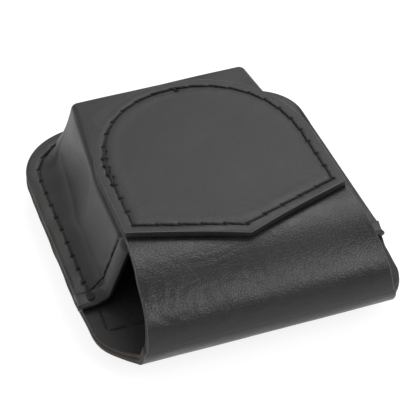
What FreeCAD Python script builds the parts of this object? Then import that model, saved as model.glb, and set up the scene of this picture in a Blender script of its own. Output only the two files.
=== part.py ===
import FreeCAD, Part
import math
import os
import Sketcher

# A small leather belt pouch lying on its back. X runs across the pouch, +Y runs from the flap's
# fold to the closed end of the pocket, and +Z is up, away from the belt. The origin is on the
# ground under the middle of the pouch, so the belt loop's underside is at Z = 0.

V = FreeCAD.Vector
doc = FreeCAD.newDocument("leather_belt_pouch")

# ---------------------------------------------------------------------------------------------
# Driving dimensions, in millimetres and degrees
# ---------------------------------------------------------------------------------------------
SIZES = [
    ("hide", 1.3, "outer leather of the back and flap"),
    ("lining", 1.1, "inner leather of the back and flap"),
    ("pocket_hide", 1.1, "moulded pocket leather"),
    ("shield_hide", 1.6, "shield overlay leather"),
    ("loop_hide", 1.6, "belt loop leather"),
    ("facing_hide", 0.8, "turned strip inside the pocket mouth"),
    ("belt_gap", 4.4, "height of the belt tunnel"),
    ("back_half", 38.0, "half width of the back panel"),
    ("back_far", 44.9, "closed end of the back panel"),
    ("far_corner", 13.5, "radius of the two far corners"),
    ("near_shoulder", -30.2, "where the near corners begin"),
    ("near_corner_half", 35.6, "half width halfway round the near corner"),
    ("near_corner_y", -35.7, "halfway round the near corner"),
    ("near_round", 6.0, "softening of the near corners"),
    ("fold_half", 30.3, "half width of the strip at the fold"),
    ("fold_start", -40.6, "where the strip starts to bend up"),
    ("fold_radius", 4.3, "outer radius of the fold"),
    ("front_top", 7.4, "top of the flap's straight front above the back"),
    ("brow_centre", -24.7, "where the flap's top becomes flat"),
    ("cheek_radius", 10.0, "outer radius of the tight bend"),
    ("flap_level", 21.2, "top face of the flap above the back's underside"),
    ("curl_half", 28.4, "half width of the flap at the curl"),
    ("curl_rise", 7.0, "height of that width above the straight front"),
    ("curl_spare", 0.4, "what the tongue's plan adds to that width at the front"),
    ("shield_half", 26.6, "half width of the shield and the flap's tongue"),
    ("shield_corner", -21.8, "where the shield's corners are"),
    ("shield_apex", -30.7, "point of the shield's shallow V"),
    ("arch_shoulder", -0.8, "where the arch begins"),
    ("arch_join_half", 20.1, "half width where the arch tightens"),
    ("arch_join_y", 19.83, "where the arch tightens"),
    ("arch_tip", 30.3, "tip of the flap"),
    ("arch_side_radius", 36.0, "radius of the arch's flanks"),
    ("arch_tip_radius", 24.53, "radius of the arch's tip"),
    ("mouth", -21.8, "plane of the pocket's mouth"),
    ("pocket_level", 18.2, "top face of the pocket above the back's underside"),
    ("pocket_base_half", 32.4, "half width of the pocket where it meets the flange"),
    ("pocket_base_far", 39.9, "closed end of the pocket at the flange"),
    ("pocket_top_half", 26.4, "half width of the pocket's top"),
    ("pocket_top_far", 35.9, "closed end of the pocket's top"),
    ("pocket_waist", 2.7, "where the pocket starts to narrow"),
    ("pocket_taper", 0.1, "how fast each side draws in beyond the waist"),
    ("pocket_corner", 4.0, "radius of the pocket's upright corners"),
    ("pocket_flare", 4.6, "radius where the wall runs out into the flange"),
    ("pocket_edge", 2.0, "radius round the pocket's top"),
    ("facing_depth", 5.5, "how far the turned strip reaches into the mouth"),
    ("facing_play", 0.03, "glue line behind the turned strip"),
    ("facing_round", 1.3, "softening of the turned strip's shoulders"),
    ("loop_half", 20.0, "half width of the belt loop"),
    ("loop_near", -29.0, "near end of the belt loop"),
    ("loop_far", 34.0, "far end of the belt loop"),
    ("loop_tab", 6.0, "length of each sewn tab"),
    ("loop_slope", 4.0, "length of the belt loop's slopes"),
    ("loop_inset", 1.7, "seam from the tab's edges"),
    ("loop_bend", 1.5, "softening of the belt loop's bends"),
    ("magnet_radius", 7.0, "closure magnets"),
    ("magnet_thick", 1.2, "closure magnets"),
    ("magnet_y", 4.3, "closure magnets along the pouch"),
    ("magnet_play", 0.1, "room round each magnet"),
    ("patch_radius", 10.5, "leather cap over the pocket's magnet"),
    ("patch_hide", 0.8, "leather of that cap"),
    ("thread_radius", 0.38, "sewing thread"),
    ("thread_sink", 0.14, "depth of the thread's centre below the leather's face"),
    ("stitch_pitch", 5.0, "length of one stitch"),
    ("stitch_gap", 0.9, "what sinks into the needle holes"),
    ("flange_inset", 2.7, "flange seam from the edge"),
    ("shield_inset", 2.4, "shield seam from the edge"),
    ("hem_inset", 4.5, "hem seam from the mouth's rim"),
    ("cross_seam_y", -30.1, "seam across the lining in front of the mouth"),
    ("cross_seam_half", 34.5, "half length of that seam"),
    ("flange_seam_start", 3.0, "first hole of the flange seam behind the mouth"),
    ("hem_seam_lift", 0.6, "first hole of the hem seam above the flange"),
    ("knot_radius", 0.6, "back-tacked thread at the mouth"),
    ("knot_reach", 2.6, "how far that thread starts behind the mouth"),
    ("knot_drop", 2.0, "how far it runs on in front of the mouth"),
    ("slit", 2.0, "room round each living hinge"),
]

sheet = doc.addObject("Spreadsheet::Sheet", "sizes")
for row, (alias, number, note) in enumerate(SIZES, start=1):
    sheet.set(f"A{row}", note)
    sheet.set(f"B{row}", str(number))
    sheet.setAlias(f"B{row}", alias)
doc.recompute()

# Heights that several pieces share, as expressions
BACK = "(sizes.loop_hide + sizes.belt_gap)"
LINING_FLOOR = f"({BACK} + sizes.hide)"
FLANGE_FLOOR = f"({LINING_FLOOR} + sizes.lining)"
FLANGE_TOP = f"({FLANGE_FLOOR} + sizes.pocket_hide)"
POCKET_TOP = f"({BACK} + sizes.pocket_level)"
FLAP_TOP = f"({BACK} + sizes.flap_level)"
FRONT = "(sizes.fold_start - sizes.fold_radius)"
CHEEK_Y = f"({FRONT} + sizes.cheek_radius)"
CHEEK_Z = f"({BACK} + sizes.front_top)"
BROW_REACH = f"(sizes.brow_centre - {CHEEK_Y})"
BROW_RISE = f"({FLAP_TOP} - {CHEEK_Z})"
# The long bend runs on from the tight one without a kink, so the two fix its radius
BROW_RADIUS = (
    f"(({BROW_REACH} ^ 2 + {BROW_RISE} ^ 2 - sizes.cheek_radius ^ 2)"
    f" / (2 * ({BROW_RISE} - sizes.cheek_radius)))"
)
BROW_Z = f"({FLAP_TOP} - {BROW_RADIUS})"
LEAN = f"(atan(({CHEEK_Z} - {BROW_Z}) / {BROW_REACH}))"

# Direction from the centre of the arch's tip to the place where its flank begins
JOIN_ACROSS = "(sizes.arch_join_half / sizes.arch_tip_radius)"
JOIN_ALONG = "((sizes.arch_join_y - sizes.arch_tip + sizes.arch_tip_radius) / sizes.arch_tip_radius)"

# How far a leaning wall's outline moves in, for each millimetre that both the wall and the level
# of the outline go down into the leather: (1 - sin) / cos of its lean
SIDE_SHIFT = 0.67
FAR_SHIFT = 0.77
# What a radius loses for the same millimetre
ROUND_SHIFT = 0.9
# Narrow end of a stitch, as a share of the thread's radius
THREAD_TIP = 0.5


def value(expression):
    """Number that an expression over the sheet comes to."""
    result = sheet.evalExpression(str(expression))
    return float(getattr(result, "Value", result))


# ---------------------------------------------------------------------------------------------
# Helpers for bodies and sketches
# ---------------------------------------------------------------------------------------------
def new_body(label):
    """Empty body with a label of its own."""
    body = doc.addObject("PartDesign::Body", label)
    body.Label = label
    return body


def new_sketch(body, role, offset="0"):
    """Sketch on one of the body's own origin planes, moved along the plane's normal."""
    sketch = body.newObject("Sketcher::SketchObject", body.Name + "_outline")
    plane = [item for item in body.Origin.OriginFeatures if item.Role == role][0]
    sketch.AttachmentSupport = [(plane, "")]
    sketch.MapMode = "FlatFace"
    sketch.setExpression("AttachmentOffset.Base.z", offset)
    return sketch


def arc_between(start, end, radius, side):
    """Short arc from start to end, bulging to the right (side 1) or the left (side -1)."""
    chord = end - start
    half = chord.Length / 2
    across = V(-chord.y, chord.x, 0).normalize()
    centre = (start + end) / 2 + across * (side * math.sqrt(radius * radius - half * half))
    middle = centre + ((start + end) / 2 - centre).normalize() * radius
    return Part.Arc(start, middle, end)


def draw_loop(sketch, corners, arcs=None):
    """Closed outline through bound corners.

    arcs maps the number of an edge to its radius and the side it bulges to.
    """
    arcs = arcs or {}
    places = [V(value(x), value(y), 0) for x, y in corners]
    total = len(places)
    first = sketch.GeometryCount
    for index, place in enumerate(places):
        following = places[(index + 1) % total]
        if index in arcs:
            radius, side = arcs[index]
            curve = arc_between(place, following, value(radius), side)
            sketch.addGeometry(curve)
        else:
            sketch.addGeometry(Part.LineSegment(place, following))
    tips = []
    for index, place in enumerate(places):
        start = sketch.getPoint(first + index, 1)
        tips.append((1, 2) if (start - place).Length < 1e-6 else (2, 1))
    for index in range(total):
        following = (index + 1) % total
        end_tip = tips[index][1]
        start_tip = tips[following][0]
        join = Sketcher.Constraint("Coincident", first + index, end_tip, first + following, start_tip)
        sketch.addConstraint(join)
    for index, (corner, place) in enumerate(zip(corners, places)):
        for kind, expression, number in zip(("DistanceX", "DistanceY"), corner, place):
            size = Sketcher.Constraint(kind, -1, 1, first + index, tips[index][0], number)
            bound = sketch.addConstraint(size)
            sketch.setExpression(f"Constraints[{bound}]", str(expression))
    for index, (radius, side) in arcs.items():
        bound = sketch.addConstraint(Sketcher.Constraint("Radius", first + index, value(radius)))
        sketch.setExpression(f"Constraints[{bound}]", str(radius))


def pad(body, sketch, length, both_ways=False):
    """Pad whose length is bound to the sheet."""
    feature = body.newObject("PartDesign::Pad", body.Name + "_pad")
    feature.Profile = sketch
    feature.setExpression("Length", length)
    feature.Midplane = both_ways
    doc.recompute()
    return feature


def fillet(body, base, edges, radius):
    """Round the edges of the base feature for which the test holds."""
    names = [f"Edge{number}" for number, edge in enumerate(base.Shape.Edges, start=1) if edges(edge)]
    feature = body.newObject("PartDesign::Fillet", body.Name + "_round")
    feature.Base = (base, names)
    feature.setExpression("Radius", radius)
    doc.recompute()
    return feature


def upright(edge):
    """True for a straight edge along Z."""
    first, last = edge.Vertexes[0].Point, edge.Vertexes[-1].Point
    return abs(first.x - last.x) < 1e-4 and abs(first.y - last.y) < 1e-4


def combine(kind, label, base, tool):
    """Boolean of two objects of the document."""
    result = doc.addObject(kind, label)
    result.Label = label
    result.Base = base
    result.Tool = tool
    doc.recompute()
    return result


def mirrored(half):
    """Corners on the +X side, from near to far, followed by the same on the -X side."""
    return half + [(f"-({x})", y) for x, y in reversed(half)]


# ---------------------------------------------------------------------------------------------
# Outlines
# ---------------------------------------------------------------------------------------------
BACK_HALF_OUTLINE = [
    ("sizes.fold_half", "sizes.fold_start"),
    ("sizes.near_corner_half", "sizes.near_corner_y"),
    ("sizes.back_half", "sizes.near_shoulder"),
    ("sizes.back_half", "sizes.back_far"),
]

TONGUE_HALF = [
    ("sizes.shield_half", "sizes.arch_shoulder"),
    ("sizes.arch_join_half", "sizes.arch_join_y"),
]


def tongue_arcs(first_edge):
    """The arch: flank, tip and flank, from the edge that leaves the +X shoulder."""
    return {
        first_edge: ("sizes.arch_side_radius", 1),
        first_edge + 1: ("sizes.arch_tip_radius", 1),
        first_edge + 2: ("sizes.arch_tip_radius", 1),
        first_edge + 3: ("sizes.arch_side_radius", 1),
    }


def tongue(start):
    """Outline of the flap's tongue: near corners, shoulders, arch and tip."""
    half = start + TONGUE_HALF
    tip = [("0", "sizes.arch_tip")]
    corners = half + tip + [(f"-({x})", y) for x, y in reversed(half)]
    return corners, tongue_arcs(len(half) - 2)


def strip_section(outer, inner):
    """Section of the flap between two depths below its outer face, at one depth of leather.

    The two results are the fold-to-curl stretch and the curl-to-tip stretch, each as corners and
    arcs in the plane of Y and Z.
    """
    fold_z = f"{BACK} + sizes.fold_radius"

    def fold_point(depth, angle):
        reach = f"(sizes.fold_radius - ({depth}))"
        return (f"sizes.fold_start - {reach} * cos({angle})", f"{fold_z} - {reach} * sin({angle})")

    def cheek_point(depth, angle):
        reach = f"(sizes.cheek_radius - ({depth}))"
        return (f"{CHEEK_Y} - {reach} * cos({angle})", f"{CHEEK_Z} + {reach} * sin({angle})")

    curl = LEAN
    turn = f"(2 * asin(sizes.slit / 2 / (sizes.cheek_radius - sizes.hide)))"
    stop = f"({curl} - {turn})"
    front = [
        fold_point(outer, "45deg"),
        fold_point(inner, "45deg"),
        fold_point(inner, "0deg"),
        cheek_point(inner, "0deg"),
        cheek_point(inner, stop),
        cheek_point(outer, stop),
        cheek_point(outer, "0deg"),
        fold_point(outer, "0deg"),
    ]
    front_arcs = {
        1: (f"sizes.fold_radius - ({inner})", -1),
        3: (f"sizes.cheek_radius - ({inner})", -1),
        5: (f"sizes.cheek_radius - ({outer})", 1),
        7: (f"sizes.fold_radius - ({outer})", 1),
    }
    top = [
        cheek_point(outer, curl),
        cheek_point(inner, curl),
        ("sizes.brow_centre", f"{FLAP_TOP} - ({inner})"),
        ("sizes.arch_tip", f"{FLAP_TOP} - ({inner})"),
        ("sizes.arch_tip", f"{FLAP_TOP} - ({outer})"),
        ("sizes.brow_centre", f"{FLAP_TOP} - ({outer})"),
    ]
    top_arcs = {
        1: (f"{BROW_RADIUS} - ({inner})", -1),
        5: (f"{BROW_RADIUS} - ({outer})", 1),
    }
    return (front, front_arcs), (top, top_arcs)


def extruded_section(label, corners, arcs):
    """Section in the plane of Y and Z, drawn out across the whole pouch."""
    body = new_body(label)
    sketch = new_sketch(body, "YZ_Plane")
    draw_loop(sketch, corners, arcs)
    pad(body, sketch, "2 * sizes.back_half", both_ways=True)
    return body


def extruded_plan(label, corners, arcs):
    """Plan outline drawn up past the top of the pouch."""
    body = new_body(label)
    sketch = new_sketch(body, "XY_Plane")
    draw_loop(sketch, corners, arcs)
    pad(body, sketch, f"2 * {FLAP_TOP}")
    return body


# ---------------------------------------------------------------------------------------------
# Back panel: outer leather and lining
# ---------------------------------------------------------------------------------------------
def back_plate(label, floor, thick):
    """One leather layer of the back panel."""
    body = new_body(label)
    sketch = new_sketch(body, "XY_Plane", floor)
    draw_loop(sketch, mirrored(BACK_HALF_OUTLINE))
    plate = pad(body, sketch, thick)
    far = value("sizes.back_far")
    fold = value("sizes.fold_start")
    plate = fillet(body, plate, lambda e: upright(e) and e.CenterOfMass.y > far - 0.01, "sizes.far_corner")
    fillet(body, plate, lambda e: upright(e) and fold + 0.01 < e.CenterOfMass.y < 0, "sizes.near_round")
    return body


back_outer = back_plate("back_outer", BACK, "sizes.hide")
back_lining = back_plate("back_lining", LINING_FLOOR, "sizes.lining")


# ---------------------------------------------------------------------------------------------
# Moulded pocket: flange, walls and top in one shell, open at the mouth
# ---------------------------------------------------------------------------------------------
def pocket_ring(near, half, far, inset, far_inset):
    """Plan of the pocket at one height, set in from the outer leather."""
    drawn_in = f"({far} - {far_inset} - sizes.pocket_waist) * sizes.pocket_taper"
    return mirrored([
        (f"{half} - {inset}", near),
        (f"{half} - {inset}", "sizes.pocket_waist"),
        (f"{half} - {inset} - {drawn_in}", f"{far} - {far_inset}"),
    ])


def pocket_form(label, depth, near, plate_floor, plate_thick, plate_corners, rounded_plate):
    """Solid form of the pocket at a depth below its outer face, on a plate."""
    inset = f"{SIDE_SHIFT} * ({depth})"
    far_inset = f"{FAR_SHIFT} * ({depth})"
    body = new_body(label)
    sketch = new_sketch(body, "XY_Plane", plate_floor)
    draw_loop(sketch, plate_corners)
    plate = pad(body, sketch, plate_thick)
    far = value("sizes.back_far")
    if rounded_plate:
        fillet(body, plate, lambda e: upright(e) and e.CenterOfMass.y > far - 0.01, "sizes.far_corner")
    low = new_sketch(body, "XY_Plane", f"{plate_floor} + {plate_thick}")
    draw_loop(low, pocket_ring(near, "sizes.pocket_base_half", "sizes.pocket_base_far", inset, far_inset))
    high = new_sketch(body, "XY_Plane", f"{POCKET_TOP} - ({depth})")
    draw_loop(high, pocket_ring(near, "sizes.pocket_top_half", "sizes.pocket_top_far", inset, far_inset))
    loft = body.newObject("PartDesign::AdditiveLoft", label + "_walls")
    loft.Profile = low
    loft.Sections = [high]
    loft.Ruled = True
    doc.recompute()
    floor = value(f"{plate_floor} + {plate_thick}")
    top = value(f"{POCKET_TOP} - ({depth})")
    mouth = value(near)

    def corner(edge):
        tall = edge.BoundBox.ZLength > (top - floor) * 0.9
        return tall and edge.CenterOfMass.y > mouth + 1

    def rim(edge):
        flat = edge.BoundBox.ZLength < 1e-4 and abs(edge.CenterOfMass.z - top) < 1e-4
        return flat and edge.BoundBox.YMax > mouth + 0.5

    def root(edge):
        flat = edge.BoundBox.ZLength < 1e-4 and abs(edge.CenterOfMass.z - floor) < 1e-4
        inside = max(abs(edge.BoundBox.XMax), abs(edge.BoundBox.XMin)) < value("sizes.back_half") - 1
        return flat and inside and mouth + 0.5 < edge.BoundBox.YMax < far - 1

    shaped = fillet(body, loft, corner, f"sizes.pocket_corner - {ROUND_SHIFT} * ({depth})")
    shaped = fillet(body, shaped, rim, f"sizes.pocket_edge - {ROUND_SHIFT} * ({depth})")
    fillet(body, shaped, root, f"sizes.pocket_flare + ({depth})")
    return body


FLANGE_CORNERS = mirrored([
    ("sizes.back_half", "sizes.mouth"),
    ("sizes.back_half", "sizes.back_far"),
])
TOOL_CORNERS = mirrored([
    ("sizes.back_half + 10", "sizes.mouth - 1"),
    ("sizes.back_half + 10", "sizes.back_far + 10"),
])

pocket_outside = pocket_form(
    "pocket_outside", "0", "sizes.mouth", FLANGE_FLOOR, "sizes.pocket_hide", FLANGE_CORNERS, True
)
pocket_inside = pocket_form(
    "pocket_inside", "sizes.pocket_hide", "sizes.mouth - 1", BACK, "sizes.hide + sizes.lining",
    TOOL_CORNERS, False
)
moulded_pocket = combine("Part::Cut", "moulded_pocket", pocket_outside, pocket_inside)


def disc(label, radius, floor, thick):
    """Upright cylinder at the closure's place."""
    cylinder = doc.addObject("Part::Cylinder", label)
    cylinder.Label = label
    cylinder.setExpression("Radius", radius)
    cylinder.setExpression("Height", thick)
    cylinder.setExpression("Placement.Base.y", "sizes.magnet_y")
    cylinder.setExpression("Placement.Base.z", floor)
    doc.recompute()
    return cylinder


# Turned strip inside the mouth, from the rim inwards. The walls are straight here, so one section
# across the pouch serves for its whole depth.
WALL_LEAN = f"((sizes.pocket_base_half - sizes.pocket_top_half) / ({POCKET_TOP} - {FLANGE_TOP}))"
STRIP_FOOT = f"({FLANGE_FLOOR} + sizes.pocket_flare)"


def wall_half(depth, height):
    """Half width of the pocket at a depth below its outer face and at a height."""
    fall = f"({POCKET_TOP} - ({depth}) - ({height}))"
    return f"sizes.pocket_top_half - {SIDE_SHIFT} * ({depth}) + {fall} * {WALL_LEAN}"


def facing_body():
    """Arch-shaped strip that lies against the pocket's inside."""
    outer = "(sizes.pocket_hide + sizes.facing_play)"
    inner = "(sizes.pocket_hide + sizes.facing_play + sizes.facing_hide)"
    body = new_body("mouth_facing")
    sketch = new_sketch(body, "XZ_Plane", "-sizes.mouth")
    half = [
        (wall_half(inner, STRIP_FOOT), STRIP_FOOT),
        (wall_half(outer, STRIP_FOOT), STRIP_FOOT),
        (wall_half(outer, f"{POCKET_TOP} - {outer}"), f"{POCKET_TOP} - {outer}"),
    ]
    far_side = [(f"-({x})", z) for x, z in reversed(half)]
    under = (wall_half(inner, f"{POCKET_TOP} - {inner}"), f"{POCKET_TOP} - {inner}")
    draw_loop(sketch, half + far_side + [(f"-({under[0]})", under[1]), under])
    strip = pad(body, sketch, "sizes.facing_depth")
    strip.Reversed = True
    doc.recompute()
    shoulder = value(f"{POCKET_TOP} - {outer}") - 0.01
    fillet(
        body, strip, lambda e: e.BoundBox.YLength > 1 and e.CenterOfMass.z > shoulder, "sizes.facing_round"
    )
    return body


mouth_facing = facing_body()


# ---------------------------------------------------------------------------------------------
# Belt loop: one strip, sewn down at both ends
# ---------------------------------------------------------------------------------------------
def belt_loop_body():
    """Strip with two flat tabs, two slopes and the straight run behind the belt."""
    shift = "sizes.loop_hide * tan(atan(sizes.belt_gap / sizes.loop_slope) / 2)"
    near_bend = "sizes.loop_near + sizes.loop_tab"
    far_bend = "sizes.loop_far - sizes.loop_tab"
    upper = [
        ("sizes.loop_near", BACK),
        (near_bend, BACK),
        (f"{near_bend} + sizes.loop_slope", "sizes.loop_hide"),
        (f"{far_bend} - sizes.loop_slope", "sizes.loop_hide"),
        (far_bend, BACK),
        ("sizes.loop_far", BACK),
    ]
    lower = [
        ("sizes.loop_far", "sizes.belt_gap"),
        (f"{far_bend} + {shift}", "sizes.belt_gap"),
        (f"{far_bend} - sizes.loop_slope + {shift}", "0"),
        (f"{near_bend} + sizes.loop_slope - {shift}", "0"),
        (f"{near_bend} - {shift}", "sizes.belt_gap"),
        ("sizes.loop_near", "sizes.belt_gap"),
    ]
    body = new_body("belt_loop")
    sketch = new_sketch(body, "YZ_Plane")
    draw_loop(sketch, upper + lower)
    strip = pad(body, sketch, "2 * sizes.loop_half", both_ways=True)
    near = value("sizes.loop_near")
    far = value("sizes.loop_far")

    def bend(edge):
        across = edge.BoundBox.XLength > 1
        return across and near + 0.1 < edge.CenterOfMass.y < far - 0.1

    fillet(body, strip, bend, "sizes.loop_bend")
    return body


belt_loop = belt_loop_body()


# ---------------------------------------------------------------------------------------------
# Flap: front and top, each of outer leather and lining, split at the two living hinges
# ---------------------------------------------------------------------------------------------
OUTER_LAYER = ("0", "sizes.hide")
LINING_LAYER = ("sizes.hide", "sizes.hide + sizes.lining")

front_width = new_body("front_width")
front_face = new_sketch(front_width, "XZ_Plane")
draw_loop(front_face, [
    ("sizes.fold_half", BACK),
    ("sizes.curl_half", f"{CHEEK_Z} + sizes.curl_rise"),
    ("-sizes.curl_half", f"{CHEEK_Z} + sizes.curl_rise"),
    ("-sizes.fold_half", BACK),
])
pad(front_width, front_face, "4 * sizes.back_half", both_ways=True)

tongue_corners, tongue_curves = tongue([
    ("sizes.curl_half + sizes.curl_spare", FRONT),
    ("sizes.shield_half", "sizes.shield_corner"),
])
tongue_plan = extruded_plan("tongue_plan", tongue_corners, tongue_curves)

flap_pieces = {}
for layer, (outer, inner) in (("outer", OUTER_LAYER), ("lining", LINING_LAYER)):
    front_section, top_section = strip_section(outer, inner)
    front_strip = extruded_section(f"front_strip_{layer}", *front_section)
    top_strip = extruded_section(f"top_strip_{layer}", *top_section)
    front_name = f"flap_front_{layer}"
    flap_pieces[front_name] = combine("Part::Common", front_name, front_strip, front_width)
    top_name = "flap_top_whole" if layer == "outer" else "flap_top_lining"
    flap_pieces[top_name] = combine("Part::Common", top_name, top_strip, tongue_plan)

window = disc(
    "magnet_window", "sizes.magnet_radius + sizes.magnet_play", f"{FLAP_TOP} - sizes.hide", "2 * sizes.hide"
)
flap_top_outer = combine("Part::Cut", "flap_top_outer", flap_pieces["flap_top_whole"], window)


# ---------------------------------------------------------------------------------------------
# Shield overlay, with its arch flush with the flap and a shallow V towards the fold
# ---------------------------------------------------------------------------------------------
def brow_height(y, rise):
    """Height of the long bend's face at y, a little above the flap's own face."""
    drop = f"({BROW_RADIUS} + {rise}) ^ 2 - (sizes.brow_centre - ({y})) ^ 2"
    return f"{BROW_Z} + sqrt({drop})"


shield_start = "sizes.shield_apex - 1"
shield_section = [
    (shield_start, brow_height(shield_start, "0")),
    ("sizes.brow_centre", FLAP_TOP),
    ("sizes.arch_tip", FLAP_TOP),
    ("sizes.arch_tip", f"{FLAP_TOP} + sizes.shield_hide"),
    ("sizes.brow_centre", f"{FLAP_TOP} + sizes.shield_hide"),
    (shield_start, brow_height(shield_start, "sizes.shield_hide")),
]
shield_strip = extruded_section("shield_strip", shield_section, {
    0: (BROW_RADIUS, -1),
    4: (f"{BROW_RADIUS} + sizes.shield_hide", 1),
})


def shield_outline(inset):
    """The shield's outline, or its seam when set in."""
    lean = "atan((sizes.shield_corner - sizes.shield_apex) / sizes.shield_half)"
    rise = f"({inset}) / cos({lean})"
    corner_y = f"sizes.shield_corner + {rise} - ({inset}) * tan({lean})"
    half = [
        (f"sizes.shield_half - ({inset})", corner_y),
        (f"sizes.shield_half - ({inset})", "sizes.arch_shoulder"),
        (
            f"sizes.arch_join_half - {JOIN_ACROSS} * ({inset})",
            f"sizes.arch_join_y - {JOIN_ALONG} * ({inset})",
        ),
    ]
    corners = half + [("0", f"sizes.arch_tip - ({inset})")]
    corners += [(f"-({x})", y) for x, y in reversed(half)]
    corners += [("0", f"sizes.shield_apex + {rise}")]
    side = f"sizes.arch_side_radius - ({inset})"
    tip = f"sizes.arch_tip_radius - ({inset})"
    return corners, {1: (side, 1), 2: (tip, 1), 3: (tip, 1), 4: (side, 1)}


shield_plan = extruded_plan("shield_plan", *shield_outline("0"))
flap_shield = combine("Part::Common", "flap_shield", shield_strip, shield_plan)


# ---------------------------------------------------------------------------------------------
# Magnetic closure
# ---------------------------------------------------------------------------------------------
flap_magnet = disc(
    "flap_magnet",
    "sizes.magnet_radius",
    f"{FLAP_TOP} - sizes.hide + sizes.magnet_play / 2",
    "sizes.magnet_thick",
)
pocket_ceiling = f"({POCKET_TOP} - sizes.pocket_hide)"
pocket_magnet = disc(
    "pocket_magnet",
    "sizes.magnet_radius",
    f"{pocket_ceiling} - sizes.magnet_thick - sizes.magnet_play / 2",
    "sizes.magnet_thick",
)
patch_thick = "(sizes.magnet_thick + sizes.magnet_play + sizes.patch_hide)"
patch_disc = disc("patch_disc", "sizes.patch_radius", f"{pocket_ceiling} - {patch_thick}", patch_thick)
patch_hollow = disc(
    "patch_hollow",
    "sizes.magnet_radius + sizes.magnet_play",
    f"{pocket_ceiling} - sizes.magnet_thick - sizes.magnet_play",
    "2 * sizes.magnet_thick",
)
magnet_patch = combine("Part::Cut", "magnet_patch", patch_disc, patch_hollow)


# ---------------------------------------------------------------------------------------------
# Seams: each stitch is a bar of thread that dips into the leather at both ends
# ---------------------------------------------------------------------------------------------
def thread_bar(start, end, radius):
    """Bar of thread from start to end, narrower at both ends where it dips into its holes."""
    along = end - start
    length = along.Length
    narrow = radius * THREAD_TIP
    corners = [
        V(0, 0, 0),
        V(narrow, 0, 0),
        V(radius, 0, radius),
        V(radius, 0, length - radius),
        V(narrow, 0, length),
        V(0, 0, length),
    ]
    half_section = Part.Face(Part.makePolygon(corners + corners[:1]))
    bar = half_section.revolve(V(0, 0, 0), V(0, 0, 1), 360)
    bar.Placement = FreeCAD.Placement(start, FreeCAD.Rotation(V(0, 0, 1), along))
    return bar


def stitch_row(holes, outward, radius=None):
    """Stitches between neighbouring needle holes.

    outward gives the leather's outward direction for the middle of a stitch and its own direction.
    """
    radius = radius or value("sizes.thread_radius")
    gap = value("sizes.stitch_gap")
    sink = value("sizes.thread_sink")
    bars = []
    for start, end in zip(holes, holes[1:]):
        along = (end - start).normalize()
        shift = outward((start + end) / 2, along) * -sink
        bars.append(thread_bar(start + along * (gap / 2) + shift, end - along * (gap / 2) + shift, radius))
    return bars


def spaced(edge, backwards=False):
    """Needle holes along one edge, at nearly the stitch pitch."""
    count = max(1, round(edge.Length / value("sizes.stitch_pitch")))
    points = edge.discretize(Number=count + 1)
    return points[::-1] if backwards else points


def chain(points):
    """Straight edges through the given points."""
    return [Part.LineSegment(a, b).toShape() for a, b in zip(points, points[1:])]


def facing_up(middle, along):
    """Outward direction of a face that looks up."""
    return V(0, 0, 1)


def facing_down(middle, along):
    """Outward direction of a face that looks down."""
    return V(0, 0, -1)


def seam(label, bars):
    """One node holding every stitch of a seam."""
    feature = doc.addObject("Part::Feature", label)
    feature.Label = label
    feature.Shape = Part.makeCompound(bars)
    feature.Placement = FreeCAD.Placement(V(0, 0, 0), FreeCAD.Rotation())
    return feature


def rows(edges, outward):
    """Stitches along each edge in turn."""
    bars = []
    for edge in edges:
        bars += stitch_row(spaced(edge), outward)
    return bars


def flange_route(height, near):
    """Edges from the mouth round the closed end and back, set in from the flange's edge."""
    half = value("sizes.back_half - sizes.flange_inset")
    far = value("sizes.back_far - sizes.flange_inset")
    round_off = value("sizes.far_corner - sizes.flange_inset")
    diagonal = round_off * (1 - math.sqrt(0.5))
    edges = []
    for side in (1, -1):
        run_end = V(side * half, far - round_off, height)
        turn_end = V(side * (half - round_off), far, height)
        middle = V(side * (half - diagonal), far - diagonal, height)
        edges.append(Part.LineSegment(V(side * half, near, height), run_end).toShape())
        edges.append(Part.Arc(run_end, middle, turn_end).toShape())
    across = half - round_off
    edges.append(Part.LineSegment(V(across, far, height), V(-across, far, height)).toShape())
    return edges


def apron_route(height):
    """Edges of the seam across the lining in front of the mouth and back to the mouth."""
    half = value("sizes.cross_seam_half")
    near = value("sizes.cross_seam_y")
    mouth = value("sizes.mouth - 1")
    plan = [(half, mouth), (half, near), (-half, near), (-half, mouth)]
    return chain([V(x, y, height) for x, y in plan])


mouth_y = value("sizes.mouth")
flange_start = value("sizes.mouth + sizes.flange_seam_start")
flange_seam = seam("flange_seam", rows(flange_route(value(FLANGE_TOP), flange_start), facing_up))
lining_seam = seam("lining_seam", rows(apron_route(value(FLANGE_FLOOR)), facing_up))
underside = flange_route(value(BACK), mouth_y) + apron_route(value(BACK))
under_seam = seam("under_seam", rows(underside, facing_down))


def seam_knots_bars():
    """Doubled thread over the rim at both ends of the mouth."""
    half = value("sizes.back_half - sizes.flange_inset")
    radius = value("sizes.knot_radius")
    flange = value(FLANGE_TOP)
    floor = value(FLANGE_FLOOR)
    slack = radius / 3
    bars = []
    for side in (1, -1):
        over = V(side * half, mouth_y + value("sizes.knot_reach"), flange)
        rim = V(side * (half + 2 * slack), mouth_y - slack, flange)
        down = V(side * (half - slack), mouth_y - value("sizes.knot_drop"), floor + slack)
        bars.append(thread_bar(over, rim, radius).fuse(thread_bar(rim, down, radius)))
    return bars


seam_knots = seam("seam_knots", seam_knots_bars())


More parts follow.
